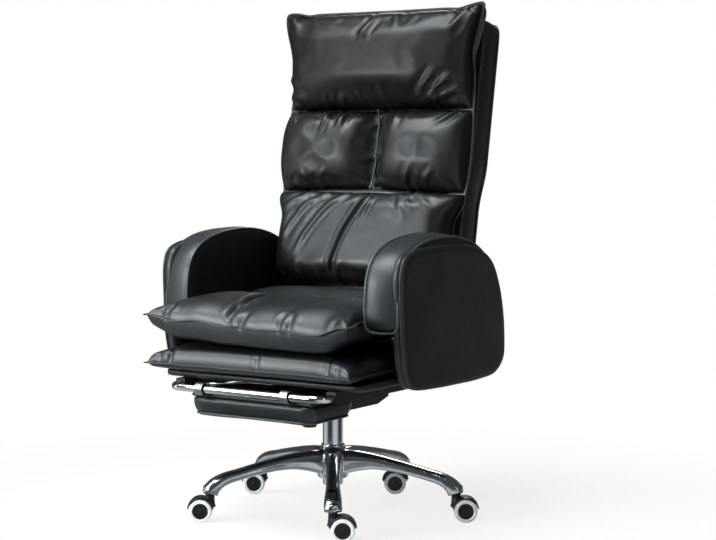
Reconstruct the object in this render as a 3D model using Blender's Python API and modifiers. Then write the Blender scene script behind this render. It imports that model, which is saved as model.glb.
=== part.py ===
"""Reclining office chair: a five-star base on twin-wheel castors, a gas lift, a tilt
mechanism, a cushioned seat between padded arms, a reclining cushioned back and a
footrest that pulls out on a chrome frame and flips over.

Metres. The column stands on the origin, the floor is z = 0, the sitter faces -Y and
the sitter's right is -X. A moving group hangs on an empty that sits on its joint."""

import math

import bmesh
import bpy
from mathutils import Vector

# Clearances and shared sheet sizes
SEAT_GAP = 0.0003
RUN_GAP = 0.0004
CUT_OVERRUN = 0.002
PLATE = 0.004
ROUND_STEPS = 20

# Star base: five cast legs round a hub
LEG_COUNT = 5
FIRST_LEG_ANGLE = math.radians(-56)
STEM_CIRCLE = 0.310
HUB_RADIUS = 0.033
HUB_BOTTOM = 0.088
HUB_TOP = 0.162
LEG_WIDTH = 0.038
LEG_ROUND = 0.008
LEG_END_BOTTOM = 0.068
LEG_END_TOP = 0.099
SOCKET_RADIUS = 0.024
LEG_HUB_DEPTH = 0.061
LEG_MID_DEPTH = 0.029

# Gas lift: outer column, bush, thrust bearing, piston rod and sliding cylinder
COLUMN_RADIUS = 0.025
COLUMN_WALL = 0.002
COLUMN_BOTTOM = 0.072
COLUMN_TOP = 0.262
COLUMN_FLOOR = 0.003
BUSH_LENGTH = 0.072
CYLINDER_RADIUS = 0.014
CYLINDER_BORE = 0.011
CYLINDER_BOTTOM = 0.090
CYLINDER_TOP = 0.292
CYLINDER_GLAND = 0.012
CYLINDER_CROWN = 0.0315
ROD_RADIUS = 0.005
ROD_PIN_RADIUS = 0.004
ROD_PIN_DROP = 0.006
BEARING_RADIUS = 0.011
BEARING_HEIGHT = 0.005
PISTON_HEIGHT = 0.012
PISTON_HEADROOM = 0.0025
CLIP_RADIUS = 0.010
CLIP_HEIGHT = 0.002
BUTTON_RADIUS = 0.005
BUTTON_HEIGHT = 0.013
BUTTON_STAND = 0.0045
BUTTON_HOLE = 0.015

# Castors: stem, hood with axle, two wheels
WHEEL_RADIUS = 0.028
WHEEL_STEPS = 16
WHEEL_WIDTH = 0.0205
WHEEL_SHOULDER = 0.003
WHEEL_COVER = 0.0022
CASTOR_TRAIL = 0.022
CASTOR_HEADING = math.radians(34)
TRAILING_FORWARD = (True, True, False, False, False)
HOOD_WEB = 0.0078
HOOD_GAP = 0.0006
HOOD_SHELL = 0.003
HOOD_CLEARANCE = 0.0015
HOOD_WIDTH = 0.046
HOOD_START_ANGLE = math.radians(14)
HOOD_STEPS = 8
WEB_FOOT_RADIUS = 0.020
AXLE_RADIUS = 0.003
STEM_RADIUS = 0.0055
STEM_IN_LEG = 0.028
STEM_IN_HOOD = 0.008
BOSS_RADIUS = 0.011
BOSS_TOP = 0.0665
BOSS_DEPTH = 0.022

# Tilt mechanism under the seat
HOUSING_HALF_WIDTH = 0.088
HOUSING_WALL = 0.003
HOUSING_FRONT = -0.130
HOUSING_REAR = 0.115
HOUSING_FLOOR = 0.268
HOUSING_FRONT_TOP = 0.335
HOUSING_REAR_TOP = 0.300
HOUSING_SLOPE_START = -0.020
HOUSING_TAIL_RISE = 0.014
HOUSING_TAIL_LENGTH = 0.050
TILT_AXIS_Y = -0.070
TILT_AXIS_Z = 0.315
TILT_SHAFT_RADIUS = 0.006
TILT_SHAFT_OVERHANG = 0.003
KNOB_Y = -0.100
KNOB_RADIUS = 0.019
KNOB_HEIGHT = 0.019
KNOB_GRIP_SHARE = 0.86
BOLT_RADIUS = 0.004
SPRING_RADIUS = 0.0125
SPRING_WIRE = 0.0016
SPRING_TURNS = 4
SPRING_HEIGHT = 0.022
SPRING_POINTS_A_TURN = 10
LEVER_RADIUS = 0.004
LEVER_PIVOT_X = -0.080
LEVER_BEND_X = -0.115
LEVER_FORWARD = -0.084
LEVER_SHOULDER_X = -0.225
LEVER_END_X = -0.322
LEVER_END_DROP = 0.012
LEVER_RISE = 0.005
LEVER_SLOT_HALF_WIDTH = 0.009
LEVER_SLOT_TRAVEL = 0.008

# Arms
ARM_INNER = 0.252
ARM_OUTER = 0.345
ARM_PANEL_THICKNESS = 0.0325
ARM_FRONT = -0.250
ARM_REAR = 0.250
ARM_BOTTOM = 0.337
ARM_TOP = 0.692
ARM_PAD_BOTTOM = 0.478
ARM_ROUND = 0.014
ARM_BRACKET_FRONT = -0.110
ARM_BRACKET_REAR = 0.045
ARM_BRACKET_REACH = 0.082
ARM_BRACKET_TOP = 0.425
ARM_BRACKET_THICKNESS = 0.0035

# Seat frame: board, rails, plates and brackets
BOARD_SIDE_GAP = 0.024
BOARD_HALF_WIDTH = (ARM_OUTER - ARM_PANEL_THICKNESS - ARM_BRACKET_THICKNESS
                    - BOARD_SIDE_GAP)
BOARD_FRONT = -0.305
BOARD_REAR = 0.125
BOARD_BOTTOM = 0.352
BOARD_THICKNESS = 0.016
BOARD_CORNER = 0.030
SEAT_PLATE_HALF_WIDTH = 0.130
SEAT_PLATE_FRONT = -0.125
SEAT_PLATE_REAR = 0.115
EAR_HALF_LENGTH = 0.035
EAR_BELOW_AXIS = 0.014
RAIL_WIDTH = 0.026
RAIL_TO_BRACKET = 0.0035
RAIL_X = (ARM_OUTER - ARM_PANEL_THICKNESS - ARM_BRACKET_REACH - RAIL_TO_BRACKET
          - RAIL_WIDTH / 2)
RAIL_HEIGHT = 0.0267
RAIL_FRONT = -0.325
RAIL_REAR = 0.050

# Footrest: chrome frame that slides, pad that flips
TUBE_RADIUS = 0.0095
TUBE_BAR_Y = -0.365
TUBE_BEND = 0.035
TUBE_BEND_STEPS = 5
TUBE_REAR = 0.030
PAD_HALF_WIDTH = 0.180
PAD_FRONT = -0.350
PAD_REAR = -0.155
PAD_BOARD_THICKNESS = 0.008
PAD_CUSHION_THICKNESS = 0.046
PAD_BOARD_DROP = 0.0053
PAD_SEAM = 0.034
CLIP_X = 0.120
CLIP_WIDTH = 0.022
CLIP_WALL = 0.0025
CLIP_FOOT_END = -0.325
PAD_BOARD_INSET = 0.008

# Cushions of the seat
EDGE_THICKNESS = 0.008
LOWER_HALF_WIDTH = 0.278
LOWER_EAR = 0.010
LOWER_FRONT = -0.352
LOWER_REAR = 0.118
LOWER_THICKNESS = 0.068
LOWER_SEAM = 0.020
UPPER_HALF_WIDTH = 0.243
UPPER_EAR = 0.042
UPPER_FRONT = -0.356
UPPER_REAR = 0.112
# The rounded crowns stop short of their cages, so the upper cushion settles by this much.
UPPER_SETTLE = 0.0007
UPPER_THICKNESS = 0.112
UPPER_SEAM = 0.066
SEAT_DRAW_IN = 0.008
FRONT_EAR_REACH = 0.012
SEAT_CHANNEL_Y = 0.030
SEAT_CHANNEL_WIDTH = 0.120
FRONT_CREASE_WIDTH = 0.130

# Back: it leans and reclines about the shaft behind the seat board
RECLINE_Y = 0.185
RECLINE_Z = 0.405
BACK_LEAN = math.radians(10.5)
SHELL_SIDE_GAP = 0.006
SHELL_HALF_WIDTH = ARM_INNER - SHELL_SIDE_GAP
SHELL_BOTTOM = 0.035
SHELL_TOP = 0.812
SHELL_FRONT = -0.050
SHELL_THICKNESS = 0.078
SHELL_BELLY = 0.016
SHELL_CROWN = 0.007
SHELL_ROUND = 0.014
LUMBAR_BOTTOM = 0.129
LUMBAR_TOP = 0.368
SHOULDER_TOP = 0.577
HEAD_TOP = 0.820
CUSHION_GAP = 0.0008
BACK_SEAM = 0.030
LUMBAR_THICKNESS = 0.112
SHOULDER_THICKNESS = 0.098
HEAD_THICKNESS = 0.118
NARROW_HALF_WIDTH = 0.243
WIDE_HALF_WIDTH = 0.268
HEAD_EAR = 0.022
HEAD_EAR_RISE = 0.016
ARM_CLEAR_HEIGHT = 0.300
SHOULDER_CHANNEL_WIDTH = 0.150

# Recline hinges, shaft and grip
SHAFT_RADIUS = 0.006
SHAFT_SEAT = 0.0022
PIN_OVERHANG = 0.0035
SHAFT_PAST_ARM = 0.010
SHAFT_LEVER_X = -(ARM_INNER + SHAFT_PAST_ARM)
SHAFT_BEND = 0.012
SHAFT_BEND_STEPS = 5
LEVER_REACH_Y = 0.074
LEVER_REACH_Z = -0.052
GRIP_RADIUS = 0.0095
GRIP_LENGTH = 0.050
BRACKET_INSET = 0.044
BRACKET_X = SHELL_HALF_WIDTH - BRACKET_INSET
BRACKET_FOOT_FRONT = 0.060
BRACKET_FOOT_WIDTH = 0.042
BRACKET_FOOT_INNER = BRACKET_X - BRACKET_FOOT_WIDTH
BRACKET_EYE = 0.022
HINGE_FOOT_WIDTH = 0.052
HINGE_FOOT_INNER = BRACKET_X - HINGE_FOOT_WIDTH
HINGE_HALF_LENGTH = 0.0225
HINGE_BELOW_AXIS = 0.018

# Shares of the sizes above that shape outlines and relief
LEG_TOP_SHARES = ((0.00, 0.97), (0.30, 0.86), (0.60, 0.60), (0.82, 0.30), (0.94, 0.03))
LEG_UNDER_SHARES = ((0.85, 0.00), (0.72, 0.38), (0.50, 1.00), (0.28, 0.90), (0.00, 0.00))
ARM_OUTLINE_SHARES = (
    (0.010, 0.060), (0.000, 0.350), (0.000, 0.680), (0.030, 0.840), (0.115, 0.955),
    (0.260, 0.995), (0.460, 1.000), (0.700, 0.985), (0.800, 0.930), (0.870, 0.760),
    (0.950, 0.500), (0.995, 0.200), (0.960, 0.060), (0.850, 0.000), (0.080, 0.000),
)
FLAT_BACK_SHARE = 0.40
CROWN_POWER = 0.40
BOXED_CROWN_POWER = 0.24
CHANNEL_DEPTH_SHARE = 0.50
CREASE_DEPTH_SHARE = 0.22
FRONT_FALL_SHARE = 0.06


def clear_scene():
    for thing in list(bpy.data.objects):
        bpy.data.objects.remove(thing, do_unlink=True)


def new_collection(name):
    collection = bpy.data.collections.new(name)
    bpy.context.scene.collection.children.link(collection)
    return collection


clear_scene()
CHAIR = new_collection("reclining_office_chair")
CUTTERS = new_collection("cutters")


def material(name, colour, roughness, metallic):
    made = bpy.data.materials.new(name)
    made.use_nodes = True
    shader = made.node_tree.nodes["Principled BSDF"]
    shader.inputs["Base Color"].default_value = (*colour, 1)
    shader.inputs["Roughness"].default_value = roughness
    shader.inputs["Metallic"].default_value = metallic
    return made


LEATHER = material("black_leather", (0.008, 0.009, 0.010), 0.38, 0)
PLASTIC = material("black_plastic", (0.012, 0.012, 0.013), 0.45, 0)
CHROME = material("chrome", (0.80, 0.80, 0.80), 0.08, 1)
ALUMINIUM = material("polished_aluminium", (0.70, 0.70, 0.70), 0.15, 1)
STEEL = material("zinc_steel", (0.45, 0.45, 0.46), 0.40, 1)
PAINTED = material("black_painted_steel", (0.015, 0.015, 0.016), 0.50, 0)
PLYWOOD = material("plywood", (0.45, 0.30, 0.17), 0.70, 0)


def empty(name, location, parent=None, rotation=(0, 0, 0)):
    made = bpy.data.objects.new(name, None)
    made.location = location
    made.rotation_euler = rotation
    made.parent = parent
    CHAIR.objects.link(made)
    return made


def finish(made, finish_material, parent=None):
    """Give a mesh object its material and smooth shading, and hang it on its joint."""
    made.data.materials.clear()
    made.data.materials.append(finish_material)
    made.data.shade_smooth()
    made.data.set_sharp_from_angle(angle=math.radians(35))
    made.parent = parent
    return made


def mesh_object(name, bm, collection=None):
    mesh = bpy.data.meshes.new(name)
    bm.to_mesh(mesh)
    bm.free()
    made = bpy.data.objects.new(name, mesh)
    (collection or CHAIR).objects.link(made)
    return made


def as_mesh(thing):
    """Replace an object by the welded mesh that it evaluates to."""
    bpy.context.view_layer.update()
    mesh = bpy.data.meshes.new_from_object(
        thing.evaluated_get(bpy.context.evaluated_depsgraph_get()))
    bm = bmesh.new()
    bm.from_mesh(mesh)
    bmesh.ops.remove_doubles(bm, verts=bm.verts, dist=0.00001)
    bm.to_mesh(mesh)
    bm.free()
    name, matrix = thing.name, thing.matrix_world.copy()
    bpy.data.objects.remove(thing, do_unlink=True)
    made = bpy.data.objects.new(name, mesh)
    made.matrix_world = matrix
    CHAIR.objects.link(made)
    return made


def box(name, low, high, collection=None):
    bm = bmesh.new()
    bmesh.ops.create_cube(bm, size=1)
    low, high = Vector(low), Vector(high)
    for vertex in bm.verts:
        share = vertex.co + Vector((0.5, 0.5, 0.5))
        vertex.co = low + Vector(a * b for a, b in zip(high - low, share))
    return mesh_object(name, bm, collection)


def cylinder(name, radius, start, end, steps=ROUND_STEPS, collection=None):
    """A round bar between two points."""
    start, end = Vector(start), Vector(end)
    bm = bmesh.new()
    bmesh.ops.create_cone(bm, cap_ends=True, segments=steps, radius1=radius,
                          radius2=radius, depth=(end - start).length)
    turn = (end - start).to_track_quat("Z", "Y").to_matrix().to_4x4()
    turn.translation = (start + end) / 2
    bmesh.ops.transform(bm, matrix=turn, verts=bm.verts)
    return mesh_object(name, bm, collection)


def turned(name, profile, closed=False, steps=ROUND_STEPS):
    """A profile of (radius, height) points, turned about Z by a Screw modifier."""
    bm = bmesh.new()
    points = [bm.verts.new((radius, 0, height)) for radius, height in profile]
    for first, second in zip(points, points[1:] + points[:1] if closed else points[1:]):
        bm.edges.new((first, second))
    made = mesh_object(name, bm)
    screw = made.modifiers.new("turn", "SCREW")
    screw.steps = steps
    screw.render_steps = steps
    screw.use_merge_vertices = True
    screw.merge_threshold = 0.00001
    return as_mesh(made)


def outline_curve(name, points, half_depth, smooth=False):
    """A flat outline in its own XY plane, filled and extruded half_depth each way."""
    curve = bpy.data.curves.new(name, "CURVE")
    curve.dimensions = "2D"
    curve.fill_mode = "BOTH"
    curve.extrude = half_depth
    curve.resolution_u = 2
    if smooth:
        spline = curve.splines.new("BEZIER")
        spline.bezier_points.add(len(points) - 1)
        for knot, point in zip(spline.bezier_points, points):
            knot.co = (*point, 0)
            knot.handle_left_type = "AUTO"
            knot.handle_right_type = "AUTO"
    else:
        spline = curve.splines.new("POLY")
        spline.points.add(len(points) - 1)
        for knot, point in zip(spline.points, points):
            knot.co = (*point, 0, 1)
    spline.use_cyclic_u = True
    made = bpy.data.objects.new(name, curve)
    CHAIR.objects.link(made)
    return made


def baked(made):
    """Move an object's placement into its mesh, so that its origin is its parent's."""
    made.data.transform(made.matrix_world)
    made.matrix_world.identity()
    return made


def prism_x(name, points, low_x, high_x, smooth=False):
    """An outline of (y, z) points, extruded from low_x to high_x."""
    made = outline_curve(name, points, (high_x - low_x) / 2, smooth)
    made.rotation_euler = (math.radians(90), 0, math.radians(90))
    made.location = ((low_x + high_x) / 2, 0, 0)
    return baked(as_mesh(made))


def prism_y(name, points, low_y, high_y):
    """An outline of (x, z) points, extruded from low_y to high_y."""
    made = outline_curve(name, points, (high_y - low_y) / 2)
    made.rotation_euler = (math.radians(90), 0, 0)
    made.location = (0, (low_y + high_y) / 2, 0)
    return baked(as_mesh(made))


def tube(name, points, radius, resolution=3):
    """A round bar along a list of points, with filled caps."""
    curve = bpy.data.curves.new(name, "CURVE")
    curve.dimensions = "3D"
    curve.bevel_depth = radius
    curve.bevel_resolution = resolution
    curve.use_fill_caps = True
    spline = curve.splines.new("POLY")
    spline.points.add(len(points) - 1)
    for knot, point in zip(spline.points, points):
        knot.co = (*point, 1)
    made = bpy.data.objects.new(name, curve)
    CHAIR.objects.link(made)
    return as_mesh(made)


def boolean(made, other, operation):
    other.hide_render = True
    other.display_type = "WIRE"
    step = made.modifiers.new(operation.lower(), "BOOLEAN")
    step.operation = operation
    step.object = other


def cut(made, *cutters):
    """Take the cutters out of a body, and keep them as guides."""
    for cutter in cutters:
        boolean(made, cutter, "DIFFERENCE")
    return as_mesh(made)


def joined(made, *others):
    """Weld other bodies to one body."""
    for other in others:
        boolean(made, other, "UNION")
    made = as_mesh(made)
    for other in others:
        bpy.data.objects.remove(other, do_unlink=True)
    return made


def rounded(made, width, segments=2, angle=30):
    bevel = made.modifiers.new("round", "BEVEL")
    bevel.width = width
    bevel.segments = segments
    bevel.limit_method = "ANGLE"
    bevel.angle_limit = math.radians(angle)
    return as_mesh(made)


def arc(centre, radius, start, end, steps):
    """Points round a centre in a plane, from one angle to another."""
    turns = [start + (end - start) * step / steps for step in range(steps + 1)]
    return [(centre[0] + radius * math.cos(a), centre[1] + radius * math.sin(a))
            for a in turns]


def dip(distance, width):
    """1 on a channel's line, falling smoothly to 0 at half its width."""
    reach = min(1, abs(distance) / (width / 2))
    return (1 - reach * reach) ** 2


def ramp(value, start, end):
    """0 before start, 1 after end, smooth between."""
    share = min(1, max(0, (value - start) / (end - start)))
    return share * share * (3 - 2 * share)


def pillow(name, outline, relief, above, below, columns, rows, power=CROWN_POWER):
    """A stuffed cushion from a coarse cage: a flat box whose outline(u, v) gives its
    plan and whose top rises above the seam by above * relief(u, v) and falls below it
    by below, with u and v from -1 to 1 and closest together at the sides. The sides
    are drawn in to a thin sewn edge."""
    bm = bmesh.new()
    bmesh.ops.create_cube(bm, size=2)
    for axis, cuts in ((0, columns - 1), (1, rows - 1)):
        along = [edge for edge in bm.edges
                 if abs(edge.verts[0].co[axis] - edge.verts[1].co[axis]) > 1]
        bmesh.ops.subdivide_edges(bm, edges=along, cuts=cuts, use_grid_fill=True)
    half_edge = EDGE_THICKNESS / 2
    for vertex in bm.verts:
        u, v, side = vertex.co
        u, v = math.sin(u * math.pi / 2), math.sin(v * math.pi / 2)
        crown = max(0, (1 - u ** 4) * (1 - v ** 4)) ** power
        x, y = outline(u, v)
        if side > 0:
            height = half_edge + (above - half_edge) * crown * relief(u, v)
        else:
            height = -half_edge - (below - half_edge) * crown ** FLAT_BACK_SHARE
        vertex.co = (x, y, height)
    made = mesh_object(name, bm)
    smooth = made.modifiers.new("smooth", "SUBSURF")
    smooth.levels = 1
    smooth.render_levels = 1
    return as_mesh(made)


def pillow_edge(u, v, half_width, low, high, draw_in):
    """Plan of a cushion between two ends, its sides drawn in between the corners."""
    half_depth = (high - low) / 2
    x = u * (half_width - draw_in * (1 - v * v))
    y = (low + high) / 2 + v * half_depth
    return x, y


def leg_top(share):
    """Height of a leg's crest at a share of its length, from its shape points."""
    return LEG_END_TOP + (HUB_TOP - LEG_END_TOP) * share


def star_leg(angle):
    """One cast leg: a deep root, a slim arched middle and a round castor socket."""
    top = [(STEM_CIRCLE * along, leg_top(up)) for along, up in LEG_TOP_SHARES]
    root_bottom = leg_top(LEG_TOP_SHARES[0][1]) - LEG_HUB_DEPTH
    arch = leg_top(LEG_TOP_SHARES[2][1]) - LEG_MID_DEPTH
    under = []
    for along, up in LEG_UNDER_SHARES:
        foot = LEG_END_BOTTOM if along > LEG_UNDER_SHARES[2][0] else root_bottom
        under.append((STEM_CIRCLE * along, foot + (arch - foot) * up))
    leg = outline_curve("leg", top + under, LEG_WIDTH / 2)
    leg.rotation_euler = (math.radians(90), 0, 0)
    leg = rounded(baked(as_mesh(leg)), LEG_ROUND, 2, 50)
    socket = rounded(cylinder("socket", SOCKET_RADIUS, (STEM_CIRCLE, 0, LEG_END_BOTTOM),
                              (STEM_CIRCLE, 0, LEG_END_TOP), 16), LEG_ROUND / 2, 1)
    leg = joined(leg, socket)
    leg.rotation_euler = (0, 0, angle)
    bpy.context.view_layer.update()
    return baked(leg)


def leg_angles():
    return [FIRST_LEG_ANGLE + math.tau * leg / LEG_COUNT for leg in range(LEG_COUNT)]


def stem_place(angle):
    return STEM_CIRCLE * math.cos(angle), STEM_CIRCLE * math.sin(angle)


def star_base(root):
    hub = cylinder("star_base", HUB_RADIUS, (0, 0, HUB_BOTTOM), (0, 0, HUB_TOP))
    hub = rounded(hub, LEG_ROUND / 2)
    hub = joined(hub, *[star_leg(angle) for angle in leg_angles()])
    bore = cylinder("hub_bore", COLUMN_RADIUS + SEAT_GAP,
                    (0, 0, HUB_BOTTOM - LEG_WIDTH), (0, 0, HUB_TOP + CUT_OVERRUN),
                    collection=CUTTERS)
    cutters = [bore]
    for angle in leg_angles():
        x, y = stem_place(angle)
        cutters.append(cylinder("stem_bore", STEM_RADIUS + SEAT_GAP,
                                (x, y, LEG_END_BOTTOM - CUT_OVERRUN),
                                (x, y, BOSS_TOP + STEM_IN_LEG), 12, CUTTERS))
    finish(cut(hub, *cutters), ALUMINIUM, root)


def column_parts(root):
    floor_top = COLUMN_BOTTOM + COLUMN_FLOOR
    inner = COLUMN_RADIUS - COLUMN_WALL
    pin_hole = ROD_PIN_RADIUS + RUN_GAP
    column = turned("gas_column", (
        (COLUMN_RADIUS, COLUMN_TOP), (COLUMN_RADIUS, COLUMN_BOTTOM),
        (pin_hole, COLUMN_BOTTOM), (pin_hole, floor_top),
        (inner, floor_top), (inner, COLUMN_TOP)), closed=True)
    finish(column, CHROME, root)
    bush = turned("column_bush", (
        (inner - SEAT_GAP, COLUMN_TOP), (inner - SEAT_GAP, COLUMN_TOP - BUSH_LENGTH),
        (CYLINDER_RADIUS + RUN_GAP, COLUMN_TOP - BUSH_LENGTH),
        (CYLINDER_RADIUS + RUN_GAP, COLUMN_TOP)), closed=True)
    finish(bush, PLASTIC, root)
    bearing_bottom = floor_top + SEAT_GAP
    bearing = turned("thrust_bearing", (
        (BEARING_RADIUS, bearing_bottom + BEARING_HEIGHT), (BEARING_RADIUS, bearing_bottom),
        (pin_hole, bearing_bottom), (pin_hole, bearing_bottom + BEARING_HEIGHT)),
        closed=True)
    finish(bearing, STEEL, root)


def piston_parts(swivel):
    """The rod stands on the thrust bearing and turns; its clip holds it down."""
    shoulder = COLUMN_BOTTOM + COLUMN_FLOOR + BEARING_HEIGHT + SEAT_GAP * 2
    crown = CYLINDER_TOP - CYLINDER_CROWN
    piston_top = crown - PISTON_HEADROOM
    piston_bottom = piston_top - PISTON_HEIGHT
    piston = CYLINDER_BORE - RUN_GAP
    rod = turned("piston_rod", (
        (0, piston_top), (piston, piston_top), (piston, piston_bottom),
        (ROD_RADIUS, piston_bottom), (ROD_RADIUS, shoulder), (ROD_PIN_RADIUS, shoulder),
        (ROD_PIN_RADIUS, COLUMN_BOTTOM - ROD_PIN_DROP),
        (0, COLUMN_BOTTOM - ROD_PIN_DROP)))
    finish(rod, STEEL, swivel)
    clip_top = COLUMN_BOTTOM - SEAT_GAP
    clip = turned("rod_clip", (
        (CLIP_RADIUS, clip_top), (CLIP_RADIUS, clip_top - CLIP_HEIGHT),
        (ROD_PIN_RADIUS + SEAT_GAP, clip_top - CLIP_HEIGHT),
        (ROD_PIN_RADIUS + SEAT_GAP, clip_top)), closed=True)
    finish(clip, STEEL, swivel)


def cylinder_parts(lift, button_axis):
    """The cylinder slides in the bush and holds the release button in its crown."""
    crown = CYLINDER_TOP - CYLINDER_CROWN
    button_floor = CYLINDER_TOP - BUTTON_HOLE
    gland = ROD_RADIUS + RUN_GAP
    body = turned("gas_cylinder", (
        (0, button_floor), (BUTTON_RADIUS + RUN_GAP, button_floor),
        (BUTTON_RADIUS + RUN_GAP, CYLINDER_TOP), (CYLINDER_RADIUS, CYLINDER_TOP),
        (CYLINDER_RADIUS, CYLINDER_BOTTOM), (gland, CYLINDER_BOTTOM),
        (gland, CYLINDER_BOTTOM + CYLINDER_GLAND),
        (CYLINDER_BORE, CYLINDER_BOTTOM + CYLINDER_GLAND),
        (CYLINDER_BORE, crown), (0, crown)))
    finish(body, STEEL, lift)
    top = CYLINDER_TOP + BUTTON_STAND
    button = cylinder("release_button", BUTTON_RADIUS, (0, 0, top - BUTTON_HEIGHT),
                      (0, 0, top), 16)
    baked_to(finish(button, STEEL), button_axis)


def baked_to(made, joint):
    """Hang an object that was modelled in world places on a joint's empty."""
    bpy.context.view_layer.update()
    made.parent = joint
    made.matrix_parent_inverse = joint.matrix_world.inverted()
    return made


def axle_height():
    """The wheels stand on the middle of a flat facet."""
    return WHEEL_RADIUS * math.cos(math.pi / WHEEL_STEPS)


def castor_hood():
    """Centre web, fender over both wheels, stem boss and axle, in one moulding. The
    stem's axis is x = 0, and the axle is a trail's length ahead along +X."""
    centre = (CASTOR_TRAIL, axle_height())
    inner = WHEEL_RADIUS + HOOD_CLEARANCE
    outer = inner + HOOD_SHELL
    start, end = HOOD_START_ANGLE, math.pi - HOOD_START_ANGLE
    fender = prism_y("hood", arc(centre, outer, start, end, HOOD_STEPS)
                     + arc(centre, inner, end, start, HOOD_STEPS),
                     -HOOD_WIDTH / 2, HOOD_WIDTH / 2)
    web = prism_y("web", arc(centre, inner + HOOD_SHELL / 2, start, end, HOOD_STEPS)
                  + arc(centre, WEB_FOOT_RADIUS, math.pi + start, math.tau - start,
                        HOOD_STEPS // 2),
                  -HOOD_WEB / 2, HOOD_WEB / 2)
    wheel_end = HOOD_WEB / 2 + HOOD_GAP + WHEEL_WIDTH
    axle_end = wheel_end - WHEEL_COVER - HOOD_GAP
    axle = cylinder("axle", AXLE_RADIUS, (CASTOR_TRAIL, -axle_end, centre[1]),
                    (CASTOR_TRAIL, axle_end, centre[1]), 12)
    boss = cylinder("boss", BOSS_RADIUS, (0, 0, BOSS_TOP - BOSS_DEPTH), (0, 0, BOSS_TOP), 16)
    clear = cylinder("boss_clear", inner + HOOD_SHELL / 2,
                     (CASTOR_TRAIL, -HOOD_WIDTH, centre[1]),
                     (CASTOR_TRAIL, HOOD_WIDTH, centre[1]), collection=CUTTERS)
    hood = joined(fender, web, axle, cut(boss, clear))
    bore = cylinder("hood_bore", STEM_RADIUS + SEAT_GAP,
                    (0, 0, BOSS_TOP - STEM_IN_HOOD - SEAT_GAP),
                    (0, 0, BOSS_TOP + CUT_OVERRUN), 12, CUTTERS)
    return cut(hood, bore)


def castor_wheel():
    """One wheel, turned, its closed outer face up and its bore below."""
    bore = AXLE_RADIUS + RUN_GAP * 2
    shoulder = WHEEL_RADIUS - WHEEL_SHOULDER
    wheel = turned("wheel", (
        (0, WHEEL_WIDTH), (shoulder, WHEEL_WIDTH),
        (WHEEL_RADIUS, WHEEL_WIDTH - WHEEL_SHOULDER), (WHEEL_RADIUS, WHEEL_SHOULDER),
        (shoulder, 0), (bore, 0), (bore, WHEEL_WIDTH - WHEEL_COVER),
        (0, WHEEL_WIDTH - WHEEL_COVER)), steps=WHEEL_STEPS)
    return wheel


def castors():
    """Five castors that share their meshes, each on its own swivel."""
    hood = castor_hood()
    wheel = castor_wheel()
    stem = cylinder("stem", STEM_RADIUS, (0, 0, BOSS_TOP - STEM_IN_HOOD),
                    (0, 0, BOSS_TOP + STEM_IN_LEG - SEAT_GAP), 12)
    finish(hood, PLASTIC)
    finish(wheel, PLASTIC)
    finish(stem, STEEL)
    for number, angle in enumerate(leg_angles(), 1):
        x, y = stem_place(angle)
        heading = CASTOR_HEADING
        if not TRAILING_FORWARD[number - 1]:
            heading += math.pi
        swivel = empty(f"castor_{number}_swivel", (x, y, 0), rotation=(0, 0, heading))
        for name, mesh in (("hood", hood.data), ("stem", stem.data)):
            made = bpy.data.objects.new(f"castor_{number}_{name}", mesh)
            CHAIR.objects.link(made)
            made.parent = swivel
        for side, turn in (("left", 1), ("right", -1)):
            axle = empty(f"castor_{number}_axle_{side}",
                         (CASTOR_TRAIL, 0, axle_height()), swivel)
            made = bpy.data.objects.new(f"castor_{number}_wheel_{side}", wheel.data)
            CHAIR.objects.link(made)
            made.parent = axle
            made.location = (0, turn * (HOOD_WEB / 2 + HOOD_GAP), 0)
            made.rotation_euler = (-turn * math.radians(90), math.pi / WHEEL_STEPS, 0)
    for pattern in (hood, wheel, stem):
        bpy.data.objects.remove(pattern, do_unlink=True)


def housing_outline(inset, top_lift):
    """Side outline of the tilt housing: a deep front, a top that falls away behind the
    shaft so that the seat plate can tip, and a raised tail."""
    return (
        (HOUSING_FRONT + inset, HOUSING_FLOOR + inset),
        (HOUSING_REAR - HOUSING_TAIL_LENGTH, HOUSING_FLOOR + inset),
        (HOUSING_REAR - inset, HOUSING_FLOOR + HOUSING_TAIL_RISE + inset),
        (HOUSING_REAR - inset, HOUSING_REAR_TOP + top_lift),
        (HOUSING_SLOPE_START, HOUSING_FRONT_TOP + top_lift),
        (HOUSING_FRONT + inset, HOUSING_FRONT_TOP + top_lift),
    )


def lever_route():
    """The lift lever runs from above the button through the housing's side, forward
    under the rail, and out to a hand's end that turns down."""
    height = CYLINDER_TOP + BUTTON_STAND + LEVER_RADIUS + SEAT_GAP
    shoulder = height + LEVER_RISE / 2
    return (
        (0, 0, height), (LEVER_PIVOT_X, 0, height), (LEVER_BEND_X, 0, height),
        (LEVER_SHOULDER_X, LEVER_FORWARD, shoulder),
        (LEVER_END_X, LEVER_FORWARD, height + LEVER_RISE),
        (LEVER_END_X - LEVER_END_DROP, LEVER_FORWARD,
         height + LEVER_RISE - LEVER_END_DROP),
    )


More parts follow.
